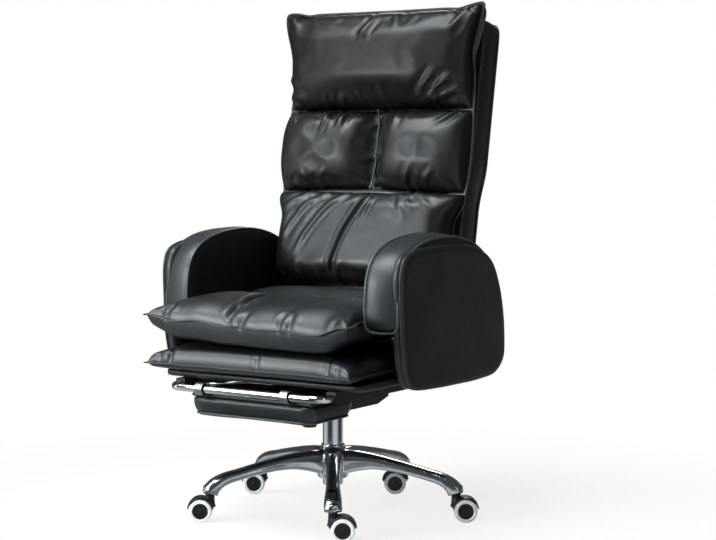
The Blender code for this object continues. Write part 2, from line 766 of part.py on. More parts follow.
def mechanism_parts(lift, knob_axis, lever_axis):
    housing = prism_x("tilt_housing", housing_outline(0, 0),
                      -HOUSING_HALF_WIDTH, HOUSING_HALF_WIDTH)
    inside = HOUSING_HALF_WIDTH - HOUSING_WALL
    pocket = prism_x("housing_pocket", housing_outline(HOUSING_WALL, CUT_OVERRUN),
                     -inside, inside)
    shaft_end = HOUSING_HALF_WIDTH + RUN_GAP + PLATE + TILT_SHAFT_OVERHANG
    shaft_hole = cylinder("shaft_hole", TILT_SHAFT_RADIUS + RUN_GAP,
                          (-shaft_end, TILT_AXIS_Y, TILT_AXIS_Z),
                          (shaft_end, TILT_AXIS_Y, TILT_AXIS_Z), 16, CUTTERS)
    taper = cylinder("taper_hole", CYLINDER_RADIUS + SEAT_GAP,
                     (0, 0, HOUSING_FLOOR - CUT_OVERRUN), (0, 0, CYLINDER_TOP),
                     collection=CUTTERS)
    bolt_hole = cylinder("bolt_hole", BOLT_RADIUS + RUN_GAP,
                         (0, KNOB_Y, HOUSING_FLOOR - CUT_OVERRUN),
                         (0, KNOB_Y, HOUSING_FLOOR + HOUSING_WALL + CUT_OVERRUN), 16,
                         CUTTERS)
    lever_height = lever_route()[0][2]
    slot = box("lever_slot",
               (-HOUSING_HALF_WIDTH - CUT_OVERRUN, -LEVER_SLOT_HALF_WIDTH,
                lever_height - LEVER_SLOT_TRAVEL),
               (-inside + CUT_OVERRUN, LEVER_SLOT_HALF_WIDTH,
                lever_height + LEVER_SLOT_TRAVEL), CUTTERS)
    housing = cut(housing, pocket, shaft_hole, taper, bolt_hole, slot)
    bpy.data.objects.remove(pocket, do_unlink=True)
    finish(housing, PAINTED, lift)
    shaft = cylinder("tilt_shaft", TILT_SHAFT_RADIUS,
                     (-shaft_end, TILT_AXIS_Y, TILT_AXIS_Z),
                     (shaft_end, TILT_AXIS_Y, TILT_AXIS_Z), 16)
    finish(shaft, STEEL, lift)
    spring_and_knob(lift, knob_axis)
    lever = tube("lift_lever", lever_route(), LEVER_RADIUS)
    baked_to(finish(lever, CHROME), lever_axis)


def spring_route():
    top = HOUSING_FLOOR - SEAT_GAP - SPRING_WIRE
    bottom = HOUSING_FLOOR - SPRING_HEIGHT
    count = SPRING_TURNS * SPRING_POINTS_A_TURN
    points = []
    for step in range(count + 1):
        angle = math.tau * step / SPRING_POINTS_A_TURN
        points.append(Vector((SPRING_RADIUS * math.cos(angle),
                              KNOB_Y + SPRING_RADIUS * math.sin(angle),
                              bottom + (top - bottom) * step / count)))
    return points


def least_gap(points, skip, wire):
    """Least free space between a coil and itself, over points a turn apart."""
    gaps = [(a - b).length for index, a in enumerate(points)
            for b in points[index + skip:]]
    return min(gaps) - 2 * wire


def spring_and_knob(lift, knob_axis):
    """The tension knob's bolt hangs from the housing's floor and carries the spring."""
    points = spring_route()
    gap = least_gap(points, SPRING_POINTS_A_TURN // 2, SPRING_WIRE)
    print(f"tilt_spring least gap to itself {gap * 1000:.2f} mm")
    finish(tube("tilt_spring", points, SPRING_WIRE, 1), STEEL, lift)
    knob_top = points[0].z - SPRING_WIRE - SEAT_GAP
    knob_bottom = knob_top - KNOB_HEIGHT
    head = HOUSING_FLOOR + HOUSING_WALL + BOLT_RADIUS
    grip = KNOB_RADIUS * KNOB_GRIP_SHARE
    knob = turned("tension_knob", (
        (0, head), (BOLT_RADIUS, head), (BOLT_RADIUS, knob_top), (KNOB_RADIUS, knob_top),
        (KNOB_RADIUS, knob_top - KNOB_HEIGHT / 2), (grip, knob_bottom), (0, knob_bottom)),
        steps=16)
    knob.location = (0, KNOB_Y, 0)
    bpy.context.view_layer.update()
    baked_to(finish(baked(knob), PLASTIC), knob_axis)


def seat_plate(seat):
    """Pressed plate under the board, with two ears on the tilt shaft."""
    top = BOARD_BOTTOM - SEAT_GAP
    plate = box("seat_plate", (-SEAT_PLATE_HALF_WIDTH, SEAT_PLATE_FRONT, top - PLATE),
                (SEAT_PLATE_HALF_WIDTH, SEAT_PLATE_REAR, top))
    ear_inner = HOUSING_HALF_WIDTH + RUN_GAP
    ears = []
    for side in (1, -1):
        near, far = sorted((side * ear_inner, side * (ear_inner + PLATE)))
        ears.append(box("ear", (near, TILT_AXIS_Y - EAR_HALF_LENGTH,
                                TILT_AXIS_Z - EAR_BELOW_AXIS),
                        (far, TILT_AXIS_Y + EAR_HALF_LENGTH, top - PLATE / 2)))
    plate = joined(plate, *ears)
    hole = cylinder("ear_hole", TILT_SHAFT_RADIUS + RUN_GAP,
                    (-SEAT_PLATE_HALF_WIDTH, TILT_AXIS_Y, TILT_AXIS_Z),
                    (SEAT_PLATE_HALF_WIDTH, TILT_AXIS_Y, TILT_AXIS_Z), 16, CUTTERS)
    baked_to(finish(cut(plate, hole), PAINTED), seat)


def tube_height():
    return BOARD_BOTTOM - SEAT_GAP - RAIL_HEIGHT / 2


def seat_frame(seat):
    board = box("seat_board", (-BOARD_HALF_WIDTH, BOARD_FRONT, BOARD_BOTTOM),
                (BOARD_HALF_WIDTH, BOARD_REAR, BOARD_BOTTOM + BOARD_THICKNESS))
    corners = [edge for edge in board.data.edges
               if abs(board.data.vertices[edge.vertices[0]].co.z
                      - board.data.vertices[edge.vertices[1]].co.z) > BOARD_THICKNESS / 2]
    bm = bmesh.new()
    bm.from_mesh(board.data)
    bm.edges.ensure_lookup_table()
    bmesh.ops.bevel(bm, geom=[bm.edges[edge.index] for edge in corners],
                    offset=BOARD_CORNER, segments=4, profile=0.5, affect="EDGES")
    bm.to_mesh(board.data)
    bm.free()
    baked_to(finish(board, PLYWOOD), seat)
    seat_plate(seat)
    rail_top = BOARD_BOTTOM - SEAT_GAP
    for side, sign in (("left", 1), ("right", -1)):
        middle = sign * RAIL_X
        rail = box(f"rail_{side}", (middle - RAIL_WIDTH / 2, RAIL_FRONT,
                                    rail_top - RAIL_HEIGHT),
                   (middle + RAIL_WIDTH / 2, RAIL_REAR, rail_top))
        bore = cylinder("rail_bore", TUBE_RADIUS + RUN_GAP,
                        (middle, RAIL_FRONT - CUT_OVERRUN, tube_height()),
                        (middle, RAIL_REAR + CUT_OVERRUN, tube_height()),
                        collection=CUTTERS)
        baked_to(finish(cut(rail, bore), PAINTED), seat)
        arm_bracket(side, sign, seat)
        hinge_bracket(side, sign, seat)


def arm_bracket(side, sign, seat):
    """Angle that joins the arm's panel to the underside of the board."""
    top = BOARD_BOTTOM - SEAT_GAP
    panel = ARM_OUTER - ARM_PANEL_THICKNESS - SEAT_GAP
    thick = ARM_BRACKET_THICKNESS
    inner = panel - ARM_BRACKET_REACH
    outline = [(inner, top - thick), (panel, top - thick),
               (panel, ARM_BRACKET_TOP), (panel - thick, ARM_BRACKET_TOP),
               (panel - thick, top), (inner, top)]
    outline = [(sign * x, z) for x, z in outline]
    bracket = prism_y(f"arm_bracket_{side}", outline, ARM_BRACKET_FRONT,
                      ARM_BRACKET_REAR)
    baked_to(finish(bracket, PAINTED), seat)


def hinge_bracket(side, sign, seat):
    """Plate behind the board with a pin that the back turns on, and a foot under it."""
    top = BOARD_BOTTOM - SEAT_GAP
    bottom = top - PLATE
    behind = BOARD_REAR + SEAT_GAP
    shoulder = RECLINE_Z + BRACKET_EYE
    near, far = sorted((sign * BRACKET_X, sign * (BRACKET_X + PLATE)))
    outline = ((BRACKET_FOOT_FRONT, bottom), (RECLINE_Y, bottom),
               (RECLINE_Y + BRACKET_EYE, RECLINE_Z), (RECLINE_Y + BRACKET_EYE / 2, shoulder),
               (RECLINE_Y - BRACKET_EYE / 2, shoulder), (behind, top + BOARD_THICKNESS),
               (behind, top), (BRACKET_FOOT_FRONT, top))
    plate = prism_x(f"hinge_bracket_{side}", outline, near, far)
    inner, outer = sorted((sign * BRACKET_FOOT_INNER, sign * (BRACKET_X + PLATE / 2)))
    foot = box("foot", (inner, BRACKET_FOOT_FRONT, bottom), (outer, BOARD_REAR, top))
    pin = cylinder("pin", SHAFT_RADIUS,
                   (sign * (BRACKET_X + PLATE / 4), RECLINE_Y, RECLINE_Z),
                   (sign * (BRACKET_X - PLATE - PIN_OVERHANG), RECLINE_Y, RECLINE_Z), 16)
    plate = joined(plate, foot, pin)
    if sign < 0:
        plate = cut(plate, lever_hole())
    baked_to(finish(plate, STEEL), seat)


def lever_hole():
    """Cutter for the blind hole that the recline lever turns in, in world places."""
    return cylinder("lever_hole", SHAFT_RADIUS + RUN_GAP,
                    (-BRACKET_X - PLATE + SHAFT_SEAT + SEAT_GAP, RECLINE_Y, RECLINE_Z),
                    (-BRACKET_X - PLATE - CUT_OVERRUN, RECLINE_Y, RECLINE_Z), 16, CUTTERS)


def lower_outline(u, v):
    x, y = pillow_edge(u, v, LOWER_HALF_WIDTH, LOWER_FRONT, LOWER_REAR, SEAT_DRAW_IN)
    front = ramp(-v, 0.6, 1)
    return x + u ** 3 * LOWER_EAR * front, y - u ** 4 * FRONT_EAR_REACH * front


def lower_relief(u, v):
    return 1 - FRONT_FALL_SHARE * ramp(-v, 0.2, 1)


def upper_outline(u, v):
    """Narrow between the arms, with an ear at each front corner."""
    x, y = pillow_edge(u, v, UPPER_HALF_WIDTH, UPPER_FRONT, UPPER_REAR, 0)
    front = ramp(ARM_FRONT - CUT_OVERRUN - y, 0, ARM_FRONT - UPPER_FRONT)
    return x + u * UPPER_EAR * front, y - u ** 4 * FRONT_EAR_REACH * ramp(-v, 0.6, 1)


def upper_relief(u, v):
    """A cross channel near the back, and a crease between the two front bulges."""
    x, y = upper_outline(u, v)
    cross = CHANNEL_DEPTH_SHARE * dip(y - SEAT_CHANNEL_Y, SEAT_CHANNEL_WIDTH)
    crease = CREASE_DEPTH_SHARE * dip(x, FRONT_CREASE_WIDTH) * ramp(-v, 0.1, 0.7)
    return (1 - FRONT_FALL_SHARE * ramp(-v, 0, 1)) * (1 - max(cross, crease))


def seat_cushions(seat):
    floor = BOARD_BOTTOM + BOARD_THICKNESS + SEAT_GAP
    lower = pillow("lower_seat_cushion", lower_outline, lower_relief,
                   LOWER_THICKNESS - LOWER_SEAM, LOWER_SEAM, 8, 6,
                   BOXED_CROWN_POWER)
    lower.location = (0, 0, floor + LOWER_SEAM)
    upper_floor = floor + LOWER_THICKNESS + SEAT_GAP - UPPER_SETTLE
    upper = pillow("upper_seat_cushion", upper_outline, upper_relief,
                   UPPER_THICKNESS - UPPER_SEAM, UPPER_SEAM, 10, 8)
    upper.location = (0, 0, upper_floor + UPPER_SEAM)
    for cushion in (lower, upper):
        bpy.context.view_layer.update()
        baked_to(finish(baked(cushion), LEATHER), seat)


def arm(side, sign, seat):
    """Padded arm: a thin side panel whose top and front swell inwards over the seat."""
    depth, height = ARM_REAR - ARM_FRONT, ARM_TOP - ARM_BOTTOM
    outline = [(ARM_FRONT + depth * along, ARM_BOTTOM + height * up)
               for along, up in ARM_OUTLINE_SHARES]
    near, far = sorted((sign * ARM_INNER, sign * ARM_OUTER))
    made = rounded(prism_x(f"arm_{side}", outline, near, far, smooth=True), ARM_ROUND, 2, 50)
    reach = sign * (ARM_OUTER - ARM_PANEL_THICKNESS)
    low, high = sorted((sign * (ARM_INNER - ARM_ROUND), reach))
    hollow = box("arm_hollow", (low, ARM_FRONT - ARM_ROUND, ARM_BOTTOM - ARM_ROUND),
                 (high, ARM_REAR + ARM_ROUND, ARM_PAD_BOTTOM), CUTTERS)
    baked_to(finish(cut(made, hollow), LEATHER), seat)


def recline_lever_parts(lever_axis):
    """One bent bar on the sitter's right: a short shaft in the bracket and the lever
    that frees the back, with a sleeve to grip."""
    reach = Vector((0, LEVER_REACH_Y, LEVER_REACH_Z))
    bend = []
    for step in range(1, SHAFT_BEND_STEPS):
        angle = math.radians(90) * step / SHAFT_BEND_STEPS
        bend.append(Vector((SHAFT_LEVER_X + SHAFT_BEND * (1 - math.sin(angle)), 0, 0))
                    + reach.normalized() * SHAFT_BEND * (1 - math.cos(angle)))
    centre = Vector((0, RECLINE_Y, RECLINE_Z))
    lever_end = Vector((SHAFT_LEVER_X, 0, 0)) + reach
    route = [Vector((-BRACKET_X - PLATE + SHAFT_SEAT, 0, 0)),
             Vector((SHAFT_LEVER_X + SHAFT_BEND, 0, 0))]
    route += bend + [Vector((SHAFT_LEVER_X, 0, 0)) + reach.normalized() * SHAFT_BEND]
    route += [lever_end]
    shaft = tube("recline_shaft", [centre + point for point in route], SHAFT_RADIUS)
    baked_to(finish(shaft, STEEL), lever_axis)
    grip_end = centre + lever_end + reach.normalized() * GRIP_RADIUS
    grip_start = grip_end - reach.normalized() * GRIP_LENGTH
    grip = rounded(cylinder("recline_grip", GRIP_RADIUS, grip_start, grip_end, 16),
                   GRIP_RADIUS / 4, 1)
    bore = cylinder("grip_bore", SHAFT_RADIUS + SEAT_GAP,
                    grip_start - reach.normalized() * CUT_OVERRUN,
                    centre + lever_end + reach.normalized() * SEAT_GAP, 16, CUTTERS)
    baked_to(finish(cut(grip, bore), PLASTIC), lever_axis)


def back_shell(back):
    """Upholstered board behind the cushions: flat front, rear bellied and crowned."""
    bm = bmesh.new()
    bmesh.ops.create_cube(bm, size=2)
    for axis, cuts in ((0, 3), (2, 7)):
        along = [edge for edge in bm.edges
                 if abs(edge.verts[0].co[axis] - edge.verts[1].co[axis]) > 1]
        bmesh.ops.subdivide_edges(bm, edges=along, cuts=cuts, use_grid_fill=True)
    for vertex in bm.verts:
        u, side, w = vertex.co
        depth = SHELL_FRONT
        if side > 0:
            belly = SHELL_BELLY * (1 - w * w)
            depth += SHELL_THICKNESS + belly + SHELL_CROWN * (1 - u * u)
        height = SHELL_BOTTOM + (SHELL_TOP - SHELL_BOTTOM) * (w + 1) / 2
        vertex.co = (u * SHELL_HALF_WIDTH, depth, height)
    shell = rounded(mesh_object("back_shell", bm), SHELL_ROUND, 2, 60)
    finish(shell, LEATHER, back)


def back_hinge(side, sign, back):
    """Angle under the shell that turns on the bracket's pin, beside the bracket."""
    face = BRACKET_X - RUN_GAP
    top = SHELL_BOTTOM - SEAT_GAP
    outline = [(face, top), (face, -HINGE_BELOW_AXIS), (face - PLATE, -HINGE_BELOW_AXIS),
               (face - PLATE, top - PLATE), (HINGE_FOOT_INNER, top - PLATE),
               (HINGE_FOOT_INNER, top)]
    outline = [(sign * x, z) for x, z in outline]
    hinge = prism_y(f"back_hinge_{side}", outline, -HINGE_HALF_LENGTH, HINGE_HALF_LENGTH)
    hole = cylinder("hinge_hole", SHAFT_RADIUS + RUN_GAP, (-BRACKET_X - PLATE, 0, 0),
                    (BRACKET_X + PLATE, 0, 0), 16, CUTTERS)
    finish(cut(hinge, hole), STEEL, back)


def lumbar_outline(u, v):
    """As wide as the arms allow below, and wider above them."""
    x, z = pillow_edge(u, v, NARROW_HALF_WIDTH, LUMBAR_BOTTOM,
                       LUMBAR_TOP - CUSHION_GAP, 0)
    wide = ramp(z, ARM_CLEAR_HEIGHT, LUMBAR_TOP)
    return x + u * (WIDE_HALF_WIDTH - NARROW_HALF_WIDTH) * wide, z


def shoulder_outline(u, v):
    return pillow_edge(u, v, WIDE_HALF_WIDTH, LUMBAR_TOP, SHOULDER_TOP - CUSHION_GAP,
                       -SEAT_DRAW_IN / 2)


def head_outline(u, v):
    """The headrest spreads to an ear at each top corner."""
    x, z = pillow_edge(u, v, WIDE_HALF_WIDTH, SHOULDER_TOP, HEAD_TOP, 0)
    top = ramp(v, 0, 1)
    return x + u * HEAD_EAR * top, z + u ** 4 * HEAD_EAR_RISE * top


def shoulder_relief(u, v):
    """A sewn channel down the middle parts two puffs."""
    x, z = shoulder_outline(u, v)
    return 1 - CHANNEL_DEPTH_SHARE * dip(x, SHOULDER_CHANNEL_WIDTH)


def plain_relief(u, v):
    return 1


def back_cushions(back):
    seam_depth = SHELL_FRONT - SEAT_GAP - BACK_SEAM
    for name, outline, relief, thickness, columns in (
            ("lumbar_cushion", lumbar_outline, plain_relief, LUMBAR_THICKNESS, 8),
            ("shoulder_cushion", shoulder_outline, shoulder_relief,
             SHOULDER_THICKNESS, 10),
            ("head_cushion", head_outline, plain_relief, HEAD_THICKNESS, 8)):
        cushion = pillow(name, outline, relief, thickness - BACK_SEAM, BACK_SEAM,
                         columns, 5)
        cushion.rotation_euler = (math.radians(90), 0, 0)
        cushion.location = (0, seam_depth, 0)
        bpy.context.view_layer.update()
        finish(baked(cushion), LEATHER, back)


def footrest_frame(frame):
    """Chrome bar bent into a U, its two legs running in the rails."""
    z = tube_height()
    bend_x = RAIL_X - TUBE_BEND
    bend_y = TUBE_BAR_Y + TUBE_BEND
    left = arc((bend_x, bend_y), TUBE_BEND, 0, -math.radians(90), TUBE_BEND_STEPS)
    right = arc((-bend_x, bend_y), TUBE_BEND, -math.radians(90), -math.pi,
                TUBE_BEND_STEPS)
    route = [(RAIL_X, TUBE_REAR)] + left + right + [(-RAIL_X, TUBE_REAR)]
    made = tube("footrest_frame", [(x, y, z) for x, y in route], TUBE_RADIUS, 3)
    baked_to(finish(made, CHROME), frame)


def pad_outline(u, v):
    return pillow_edge(u, v, PAD_HALF_WIDTH, PAD_FRONT, PAD_REAR, SEAT_DRAW_IN / 2)


def footrest_pad(pad):
    """Board and cushion that hang from the bar by two straps; they face down when
    the footrest is put away."""
    board_top = tube_height() - TUBE_RADIUS - PAD_BOARD_DROP
    board_bottom = board_top - PAD_BOARD_THICKNESS
    inset = PAD_BOARD_INSET
    board = box("footrest_board", (-PAD_HALF_WIDTH + inset, PAD_FRONT + inset,
                                   board_bottom),
                (PAD_HALF_WIDTH - inset, PAD_REAR - inset, board_top))
    baked_to(finish(board, PLYWOOD), pad)
    cushion = pillow("footrest_cushion", pad_outline, plain_relief,
                     PAD_CUSHION_THICKNESS - PAD_SEAM, PAD_SEAM, 6, 4,
                     BOXED_CROWN_POWER)
    cushion.scale = (1, 1, -1)
    cushion.location = (0, 0, board_bottom - SEAT_GAP - PAD_SEAM)
    bpy.context.view_layer.update()
    cushion = baked(cushion)
    cushion.data.flip_normals()
    baked_to(finish(cushion, LEATHER), pad)
    for side, sign in (("left", 1), ("right", -1)):
        footrest_strap(side, sign * CLIP_X, board_top + SEAT_GAP, pad)


def footrest_strap(side, middle, seat_height, pad):
    """Eye round the bar with a tongue that lies on the pad's board."""
    low, high = middle - CLIP_WIDTH / 2, middle + CLIP_WIDTH / 2
    outer = TUBE_RADIUS + RUN_GAP + CLIP_WALL
    eye = cylinder(f"footrest_strap_{side}", outer, (low, TUBE_BAR_Y, tube_height()),
                   (high, TUBE_BAR_Y, tube_height()))
    tongue = box("tongue", (low, TUBE_BAR_Y, seat_height),
                 (high, CLIP_FOOT_END + CLIP_WIDTH, seat_height + CLIP_WALL))
    eye = joined(eye, tongue)
    hole = cylinder("strap_hole", TUBE_RADIUS + RUN_GAP,
                    (low - CUT_OVERRUN, TUBE_BAR_Y, tube_height()),
                    (high + CUT_OVERRUN, TUBE_BAR_Y, tube_height()),
                    collection=CUTTERS)
    baked_to(finish(cut(eye, hole), STEEL), pad)


def chair():
    root = empty("base", (0, 0, 0))
    swivel = empty("piston_swivel", (0, 0, 0))
    lift = empty("lift", (0, 0, 0))
    button = empty("button_axis", (0, 0, CYLINDER_TOP), lift)
    knob = empty("knob_axis", (0, KNOB_Y, HOUSING_FLOOR), lift)
    lever = empty("lever_axis", (LEVER_PIVOT_X, 0, lever_route()[0][2]), lift)
    seat = empty("seat_tilt", (0, TILT_AXIS_Y, TILT_AXIS_Z))
    back = empty("back_recline", (0, RECLINE_Y, RECLINE_Z), rotation=(-BACK_LEAN, 0, 0))
    recline_lever = empty("recline_lever_axis", (0, RECLINE_Y, RECLINE_Z))
    frame = empty("footrest_slide", (0, TUBE_BAR_Y, tube_height()))
    pad = empty("footrest_flip", (0, TUBE_BAR_Y, tube_height()))
    star_base(root)
    column_parts(root)
    castors()
    piston_parts(swivel)
    cylinder_parts(lift, button)
    mechanism_parts(lift, knob, lever)
    seat_frame(seat)
    seat_cushions(seat)
    for side, sign in (("left", 1), ("right", -1)):
        arm(side, sign, seat)
        back_hinge(side, sign, back)
    recline_lever_parts(recline_lever)
    back_shell(back)
    back_cushions(back)
    footrest_frame(frame)
    footrest_pad(pad)


chair()
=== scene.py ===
"""Looks of a reclining office chair: puffed black leather on a polished star base."""

import math
import random

import bmesh
import bpy
import numpy as np
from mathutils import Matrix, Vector, noise


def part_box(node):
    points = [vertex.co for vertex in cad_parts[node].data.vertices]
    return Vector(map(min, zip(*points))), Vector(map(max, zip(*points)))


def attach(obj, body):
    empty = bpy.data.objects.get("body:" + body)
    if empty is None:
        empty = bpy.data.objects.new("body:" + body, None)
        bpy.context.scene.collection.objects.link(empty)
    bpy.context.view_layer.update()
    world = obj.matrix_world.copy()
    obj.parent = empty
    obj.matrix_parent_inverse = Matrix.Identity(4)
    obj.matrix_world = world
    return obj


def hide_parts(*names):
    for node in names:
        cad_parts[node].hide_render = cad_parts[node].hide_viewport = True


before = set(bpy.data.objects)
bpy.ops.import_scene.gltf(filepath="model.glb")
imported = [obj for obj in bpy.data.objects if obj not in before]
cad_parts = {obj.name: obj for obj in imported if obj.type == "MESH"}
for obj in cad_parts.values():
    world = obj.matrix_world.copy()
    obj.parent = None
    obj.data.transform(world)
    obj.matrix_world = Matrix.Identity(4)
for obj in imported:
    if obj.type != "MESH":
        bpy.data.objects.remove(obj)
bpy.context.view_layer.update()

# Sizes that the looks share with the CAD, in metres
BACK_LEAN = math.radians(10.5)
RECLINE_AXIS = (0, 0.185, 0.405)
BACK_SEAM_DEPTH = -0.0803
SHELL_FRONT, SHELL_REAR_SEAM = -0.050, 0.028
SHELL_HALF_WIDTH, SHELL_LOW, SHELL_HIGH = 0.246, 0.035, 0.812
SHELL_SEAMS = (0.225, 0.400, 0.590)
ARM_FRONT, ARM_REAR = -0.250, 0.250
ARM_BOTTOM, ARM_TOP, ARM_PAD_BOTTOM = 0.337, 0.692, 0.478
ARM_INNER, ARM_OUTER, ARM_SPLIT = 0.252, 0.345, 0.3320
LOWER_SEAM_HEIGHT = 0.3883
UPPER_SEAM_HEIGHT = 0.5019
FIRST_LEG = math.radians(-56)
CASTOR_REACH, CASTOR_TRAIL = 0.310, 0.022
COOL_WHITE = (0.93, 0.98, 1.0)
BAND_OUTLINE = (
    (0.010, 0.060), (0.000, 0.350), (0.002, 0.620), (0.020, 0.770), (0.062, 0.862),
    (0.130, 0.925), (0.220, 0.966), (0.330, 0.990), (0.470, 1.000), (0.620, 0.975),
    (0.750, 0.915), (0.850, 0.810), (0.920, 0.630), (0.965, 0.400), (0.980, 0.150),
    (0.920, 0.030), (0.800, 0.000), (0.400, 0.000), (0.080, 0.000),
)
PANEL_OUTLINE = (
    (0.034, 0.300), (0.026, 0.480), (0.020, 0.665), (0.024, 0.780), (0.056, 0.880),
    (0.140, 0.930), (0.270, 0.948), (0.450, 0.952), (0.640, 0.938), (0.774, 0.888),
    (0.880, 0.800), (0.944, 0.645), (0.984, 0.437), (0.998, 0.273), (0.988, 0.130),
    (0.925, 0.040), (0.820, 0.004), (0.484, 0.000), (0.170, 0.018), (0.074, 0.090),
)


def linked(name, data):
    """A new object of some data, in the scene."""
    made = bpy.data.objects.new(name, data)
    bpy.context.scene.collection.objects.link(made)
    return made


# Camera, light and floor
def set_camera():
    """The photograph's view: 34 degrees round from the front, a little above the seat."""
    bpy.context.scene.view_settings.view_transform = "Standard"
    azimuth, distance, height = math.radians(34), 4.24, 0.895
    pitch = math.radians(3.55)
    camera = bpy.data.cameras.new("camera")
    camera.lens = 87.9
    camera.sensor_width = 36
    camera.shift_x = 0.0349
    camera.shift_y = -0.0203
    camera.clip_end = 60
    seen = linked("camera", camera)
    seen.location = (distance * math.sin(azimuth), -distance * math.cos(azimuth), height)
    seen.rotation_euler = (math.radians(90) - pitch, 0, azimuth)
    bpy.context.scene.camera = seen


def add_lamp(name, place, target, size, power, shade=(1, 1, 1), spread=180):
    """A rectangular softbox; a spread under 180 degrees is the grid on its front."""
    lamp = bpy.data.lights.new(name, "AREA")
    lamp.spread = math.radians(spread)
    lamp.shape = "RECTANGLE"
    lamp.size, lamp.size_y = size
    lamp.energy = power
    lamp.color = shade
    held = linked(name, lamp)
    held.location = place
    aim = Vector(target) - Vector(place)
    held.rotation_euler = aim.to_track_quat("-Z", "Y").to_euler()


def light_studio():
    """Seven lamps, and a world that is white to the camera and dim to all else."""
    # Grids keep the key, top and front light on the seat and the small of the back
    add_lamp("key_softbox", (-1.9, -2.0, 3.1), (0.06, -0.2, 0.42), (2.0, 1.5), 8.8,
             COOL_WHITE, 80)
    add_lamp("seat_softbox", (0.45, -1.7, 2.5), (0.06, -0.16, 0.52), (0.9, 0.6), 1.1,
             COOL_WHITE, 44)
    add_lamp("top_softbox", (-0.5, -1.2, 3.2), (0.05, -0.27, 0.4), (2.0, 1.6), 14,
             COOL_WHITE, 50)
    add_lamp("front_softbox", (-0.85, -1.85, 1.0), (0, -0.1, 0.52), (0.9, 0.6), 3.6,
             COOL_WHITE, 48)
    add_lamp("right_strip", (3.0, -1.0, 1.0), (0, 0, 0.5), (0.22, 1.8), 3)
    add_lamp("left_strip", (-2.7, -1.5, 0.9), (0, 0, 0.4), (0.30, 1.5), 5)
    add_lamp("rear_strip", (-1.2, 2.8, 2.4), (0, 0, 0.8), (1.1, 1.3), 34)
    world = bpy.data.worlds.new("white_studio")
    world.use_nodes = True
    tree = world.node_tree
    tree.nodes.clear()
    path = add(tree, "ShaderNodeLightPath")
    dim = add(tree, "ShaderNodeBackground", {"Color": (0.80, 0.84, 0.88, 1), "Strength": 0.09})
    white = add(tree, "ShaderNodeBackground", {"Color": (1, 1, 1, 1), "Strength": 1.0})
    chosen = add(tree, "ShaderNodeMixShader",
                 {0: path.outputs["Is Camera Ray"], 1: dim.outputs[0], 2: white.outputs[0]})
    add(tree, "ShaderNodeOutputWorld", {"Surface": chosen.outputs[0]})
    bpy.context.scene.world = world


def lay_floor():
    """A white seamless floor that keeps the soft shadow of the base."""
    bpy.ops.mesh.primitive_circle_add(vertices=64, radius=14, fill_type="NGON")
    floor = bpy.context.object
    floor.name = floor.data.name = "studio_floor"
    finish = bpy.data.materials.new("studio_white")
    finish.use_nodes = True
    tree = finish.node_tree
    tree.nodes.clear()
    path = add(tree, "ShaderNodeLightPath")
    seen = add(tree, "ShaderNodeMath", {0: path.outputs["Is Camera Ray"],
                                        1: path.outputs["Is Glossy Ray"]},
               operation="MAXIMUM")
    through = add(tree, "ShaderNodeMath", {0: seen.outputs[0],
                                           1: path.outputs["Is Transmission Ray"]},
                  operation="MAXIMUM")
    matt = add(tree, "ShaderNodeBsdfDiffuse", {"Color": linear("#f4f5f6")})
    glow = add(tree, "ShaderNodeEmission", {"Color": (1, 1, 1, 1), "Strength": 1.0})
    place = add(tree, "ShaderNodeTexCoord").outputs["Object"]
    away = add(tree, "ShaderNodeVectorMath", {0: place}, operation="LENGTH")
    share = add(tree, "ShaderNodeMapRange", {0: away.outputs["Value"], 1: 0.5, 2: 1.4,
                                             3: 0.80, 4: 1.0})
    lifted = add(tree, "ShaderNodeMixShader", {0: share.outputs[0], 1: matt.outputs[0],
                                               2: glow.outputs[0]})
    # Painted reflection: to glossy rays the floor glows in grey and white bands round the chair,
    # in place of cards, and a little brighter near it, so its metal and leather mirror them
    turn = add(tree, "ShaderNodeTexGradient", {"Vector": place}, gradient_type="RADIAL")
    round_trip = add(tree, "ShaderNodeMath", {0: turn.outputs["Fac"], 1: math.tau * 3},
                     operation="MULTIPLY")
    wave = add(tree, "ShaderNodeMath", {0: round_trip.outputs[0]}, operation="SINE")
    glow_bands = add(tree, "ShaderNodeMapRange", {0: wave.outputs[0], 1: -0.6, 2: 0.8,
                                             3: 0.06, 4: 0.70})
    near = add(tree, "ShaderNodeMapRange", {0: away.outputs["Value"], 1: 0.5, 2: 1.1,
                                            3: 0.26, 4: 0.0})
    bright = add(tree, "ShaderNodeMath", {0: near.outputs[0], 1: glow_bands.outputs[0]},
                 operation="MAXIMUM")
    reflected_glow = add(tree, "ShaderNodeEmission", {"Color": linear("#e8eef2"),
                                                "Strength": bright.outputs[0]})
    looked = add(tree, "ShaderNodeMixShader", {0: path.outputs["Is Glossy Ray"],
                                               1: lifted.outputs[0], 2: reflected_glow.outputs[0]})
    shown = add(tree, "ShaderNodeMixShader", {0: through.outputs[0], 1: matt.outputs[0],
                                              2: looked.outputs[0]})
    add(tree, "ShaderNodeOutputMaterial", {"Surface": shown.outputs[0]})
    floor.data.materials.append(finish)


# Materials
def linear(hex_colour):
    """An sRGB hex colour as the linear colour that a shader takes."""
    shades = [int(hex_colour[i:i + 2], 16) / 255 for i in (1, 3, 5)]
    return (*[s / 12.92 if s <= 0.04045 else ((s + 0.055) / 1.055) ** 2.4
              for s in shades], 1)


def add(tree, kind, inputs=None, **settings):
    """Add a node with its settings, its input values and its links."""
    made = tree.nodes.new(kind)
    for name, value in settings.items():
        setattr(made, name, value)
    for socket, value in (inputs or {}).items():
        if isinstance(value, bpy.types.NodeSocket):
            tree.links.new(value, made.inputs[socket])
        else:
            made.inputs[socket].default_value = value
    return made


